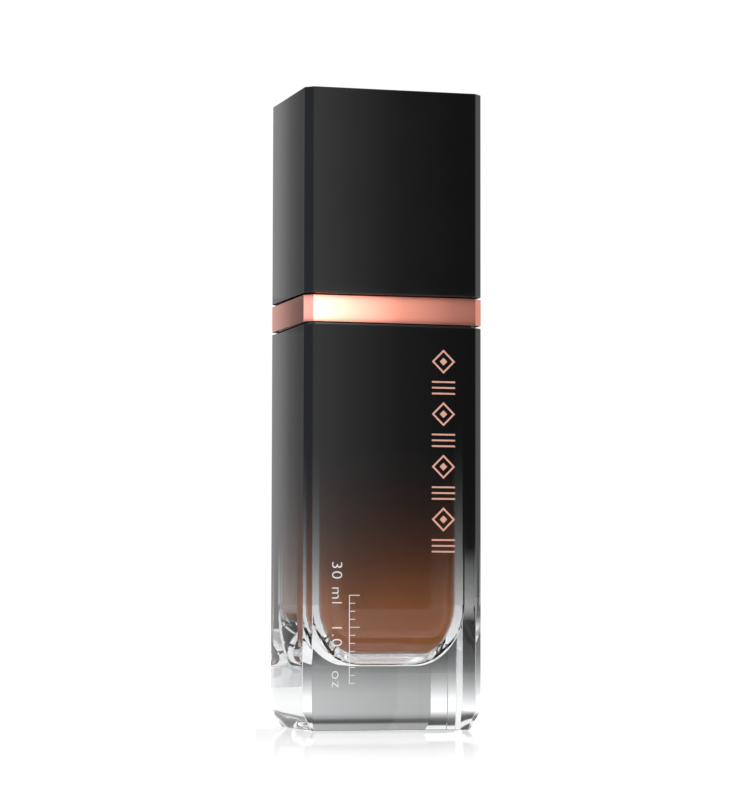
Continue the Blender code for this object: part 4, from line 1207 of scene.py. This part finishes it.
class BOTTLE_OT_stage(bpy.types.Operator):
    """White sweep, soft light cards and the camera"""

    bl_idname = "bottle.stage"
    bl_label = "Stage"

    def execute(self, context):
        self.make_sweep()
        self.make_world(context.scene)
        self.make_cards()
        self.make_camera(context.scene)
        context.scene.view_settings.view_transform = "Standard"
        return {"FINISHED"}

    def make_sweep(self):
        """A white floor that runs out of sight, glossy only near the bottle's front."""
        bm = bmesh.new()
        bmesh.ops.create_grid(bm, x_segments=4, y_segments=4, size=FLOOR_REACH)
        move_form(bm, 0, 0, FLOOR - FLOOR_DROP)
        floor = as_object("white_floor", bm)
        made, tree, place = blank("white_acrylic_floor")
        reach = add(tree, "ShaderNodeVectorMath", None, {0: place}, operation="LENGTH")
        depth = add(tree, "ShaderNodeSeparateXYZ", None, {0: place})
        near, front = [
            add(tree, "ShaderNodeMapRange",
                {"From Min": low, "From Max": high, "To Min": share, "To Max": 0.0},
                {"Value": source}, interpolation_type="SMOOTHSTEP").outputs["Result"]
            for source, (low, high), share in (
                (reach.outputs["Value"], GLOSS_REACH, FLOOR_GLOSS),
                (depth.outputs["Y"], GLOSS_DEPTH, 1.0))]
        gloss = add(tree, "ShaderNodeMath", None, {0: near, 1: front},
                    operation="MULTIPLY").outputs["Value"]
        cloth = add(tree, "ShaderNodeBsdfDiffuse", {"Color": solid(FLOOR_CLOTH)})
        glow = add(tree, "ShaderNodeEmission",
                   {"Color": solid(1.0), "Strength": FLOOR_GLOW})
        matt = add(tree, "ShaderNodeAddShader", None, {0: cloth.outputs["BSDF"],
                                                       1: glow.outputs["Emission"]})
        mirror = add(tree, "ShaderNodeBsdfGlossy", {"Color": solid(FLOOR_MIRROR),
                                                    "Roughness": FLOOR_ROUGHNESS})
        top = add(tree, "ShaderNodeMixShader", None,
                  {0: gloss, 1: matt.outputs["Shader"], 2: mirror.outputs["BSDF"]})
        add(tree, "ShaderNodeOutputMaterial", None, {"Surface": top.outputs["Shader"]})
        floor.data.materials.append(made)

    def make_world(self, scene):
        """White seen directly and through the acrylic, softer as a light."""
        scene.world = bpy.data.worlds.new("white_room")
        scene.world.use_nodes = True
        tree = scene.world.node_tree
        tree.nodes.clear()
        path = add(tree, "ShaderNodeLightPath").outputs
        seen = add(tree, "ShaderNodeMath", None,
                   {0: path["Is Camera Ray"], 1: path["Is Transmission Ray"]},
                   operation="MAXIMUM")
        behind = add(tree, "ShaderNodeMath", None,
                     {0: path["Diffuse Depth"], 1: path["Is Transmission Ray"]},
                     operation="MULTIPLY", use_clamp=True)
        light, white, strong = [
            add(tree, "ShaderNodeBackground",
                {"Color": solid(1.0), "Strength": strength}).outputs["Background"]
            for strength in (LIGHT_WHITE, SEEN_WHITE, BEHIND_WHITE)]
        plain = add(tree, "ShaderNodeMixShader", None,
                    {0: seen.outputs["Value"], 1: light, 2: white})
        lit = add(tree, "ShaderNodeMixShader", None,
                  {0: behind.outputs["Value"], 1: plain.outputs["Shader"], 2: strong})
        add(tree, "ShaderNodeOutputWorld", None, {"Surface": lit.outputs["Shader"]})

    def make_cards(self):
        """Cards that the front, the left side and the near edge reflect, and a top card."""
        for name, (axis, left, right, across, foot, top, stops, rest) in CARDS.items():
            corners = [(left, across, foot), (right, across, foot), (right, across, top),
                       (left, across, top)]
            if axis == "Y":
                corners = [(y, x, z) for x, y, z in corners]
            reflector(name, corners, axis, stops, **rest)
        half, height, stops, strength = TOP_CARD
        corners = [(-half, -half, height), (half, -half, height), (half, half, height),
                   (-half, half, height)]
        reflector("top_card", corners, "X", stops, strength)

    def make_camera(self, scene):
        """A long lens a little above the floor, to the left of the front."""
        data = bpy.data.cameras.new("portrait_camera")
        data.sensor_width = CAMERA_SENSOR
        data.lens = CAMERA_LENS
        data.clip_start, data.clip_end = CAMERA_CLIP
        camera = linked("portrait_camera", data)
        turn = (Matrix.Rotation(-CAMERA_YAW, 4, "Z")
                @ Matrix.Rotation(RIGHT_ANGLE + CAMERA_PITCH, 4, "X")
                @ Matrix.Rotation(CAMERA_ROLL, 4, "Z"))
        camera.matrix_world = Matrix.Translation(CAMERA_PLACE) @ turn
        scene.camera = camera


# ---------------------------------------------------------------- add-on

STEPS = (
    BOTTLE_OT_clear_shell,
    BOTTLE_OT_inner_bottle,
    BOTTLE_OT_liquid,
    BOTTLE_OT_shoulder,
    BOTTLE_OT_cap,
    BOTTLE_OT_closure,
    BOTTLE_OT_pump,
    BOTTLE_OT_plunger,
    BOTTLE_OT_spring,
    BOTTLE_OT_actuator,
    BOTTLE_OT_decoration,
    BOTTLE_OT_stage,
)


class BOTTLE_PT_panel(bpy.types.Panel):
    """Lists the steps, the sizes and the colours"""

    bl_idname = "BOTTLE_PT_panel"
    bl_label = "Foundation bottle"
    bl_space_type = "VIEW_3D"
    bl_region_type = "UI"
    bl_category = "Bottle"

    def draw(self, context):
        for group in (context.scene.bottle_sizes, context.scene.bottle_colours):
            for name in group.__annotations__:
                self.layout.prop(group, name)
        for step in STEPS:
            self.layout.operator(step.bl_idname)


CLASSES = (BottleSizes, BottleColours, *STEPS, BOTTLE_PT_panel)


def register():
    for cls in CLASSES:
        bpy.utils.register_class(cls)
    bpy.types.Scene.bottle_sizes = bpy.props.PointerProperty(type=BottleSizes)
    bpy.types.Scene.bottle_colours = bpy.props.PointerProperty(type=BottleColours)


def unregister():
    del bpy.types.Scene.bottle_colours
    del bpy.types.Scene.bottle_sizes
    for cls in reversed(CLASSES):
        bpy.utils.unregister_class(cls)


def main():
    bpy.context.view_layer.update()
    register()
    for step in STEPS:
        group, name = step.bl_idname.split(".")
        getattr(getattr(bpy.ops, group), name)()


if __name__ == "__main__":
    main()
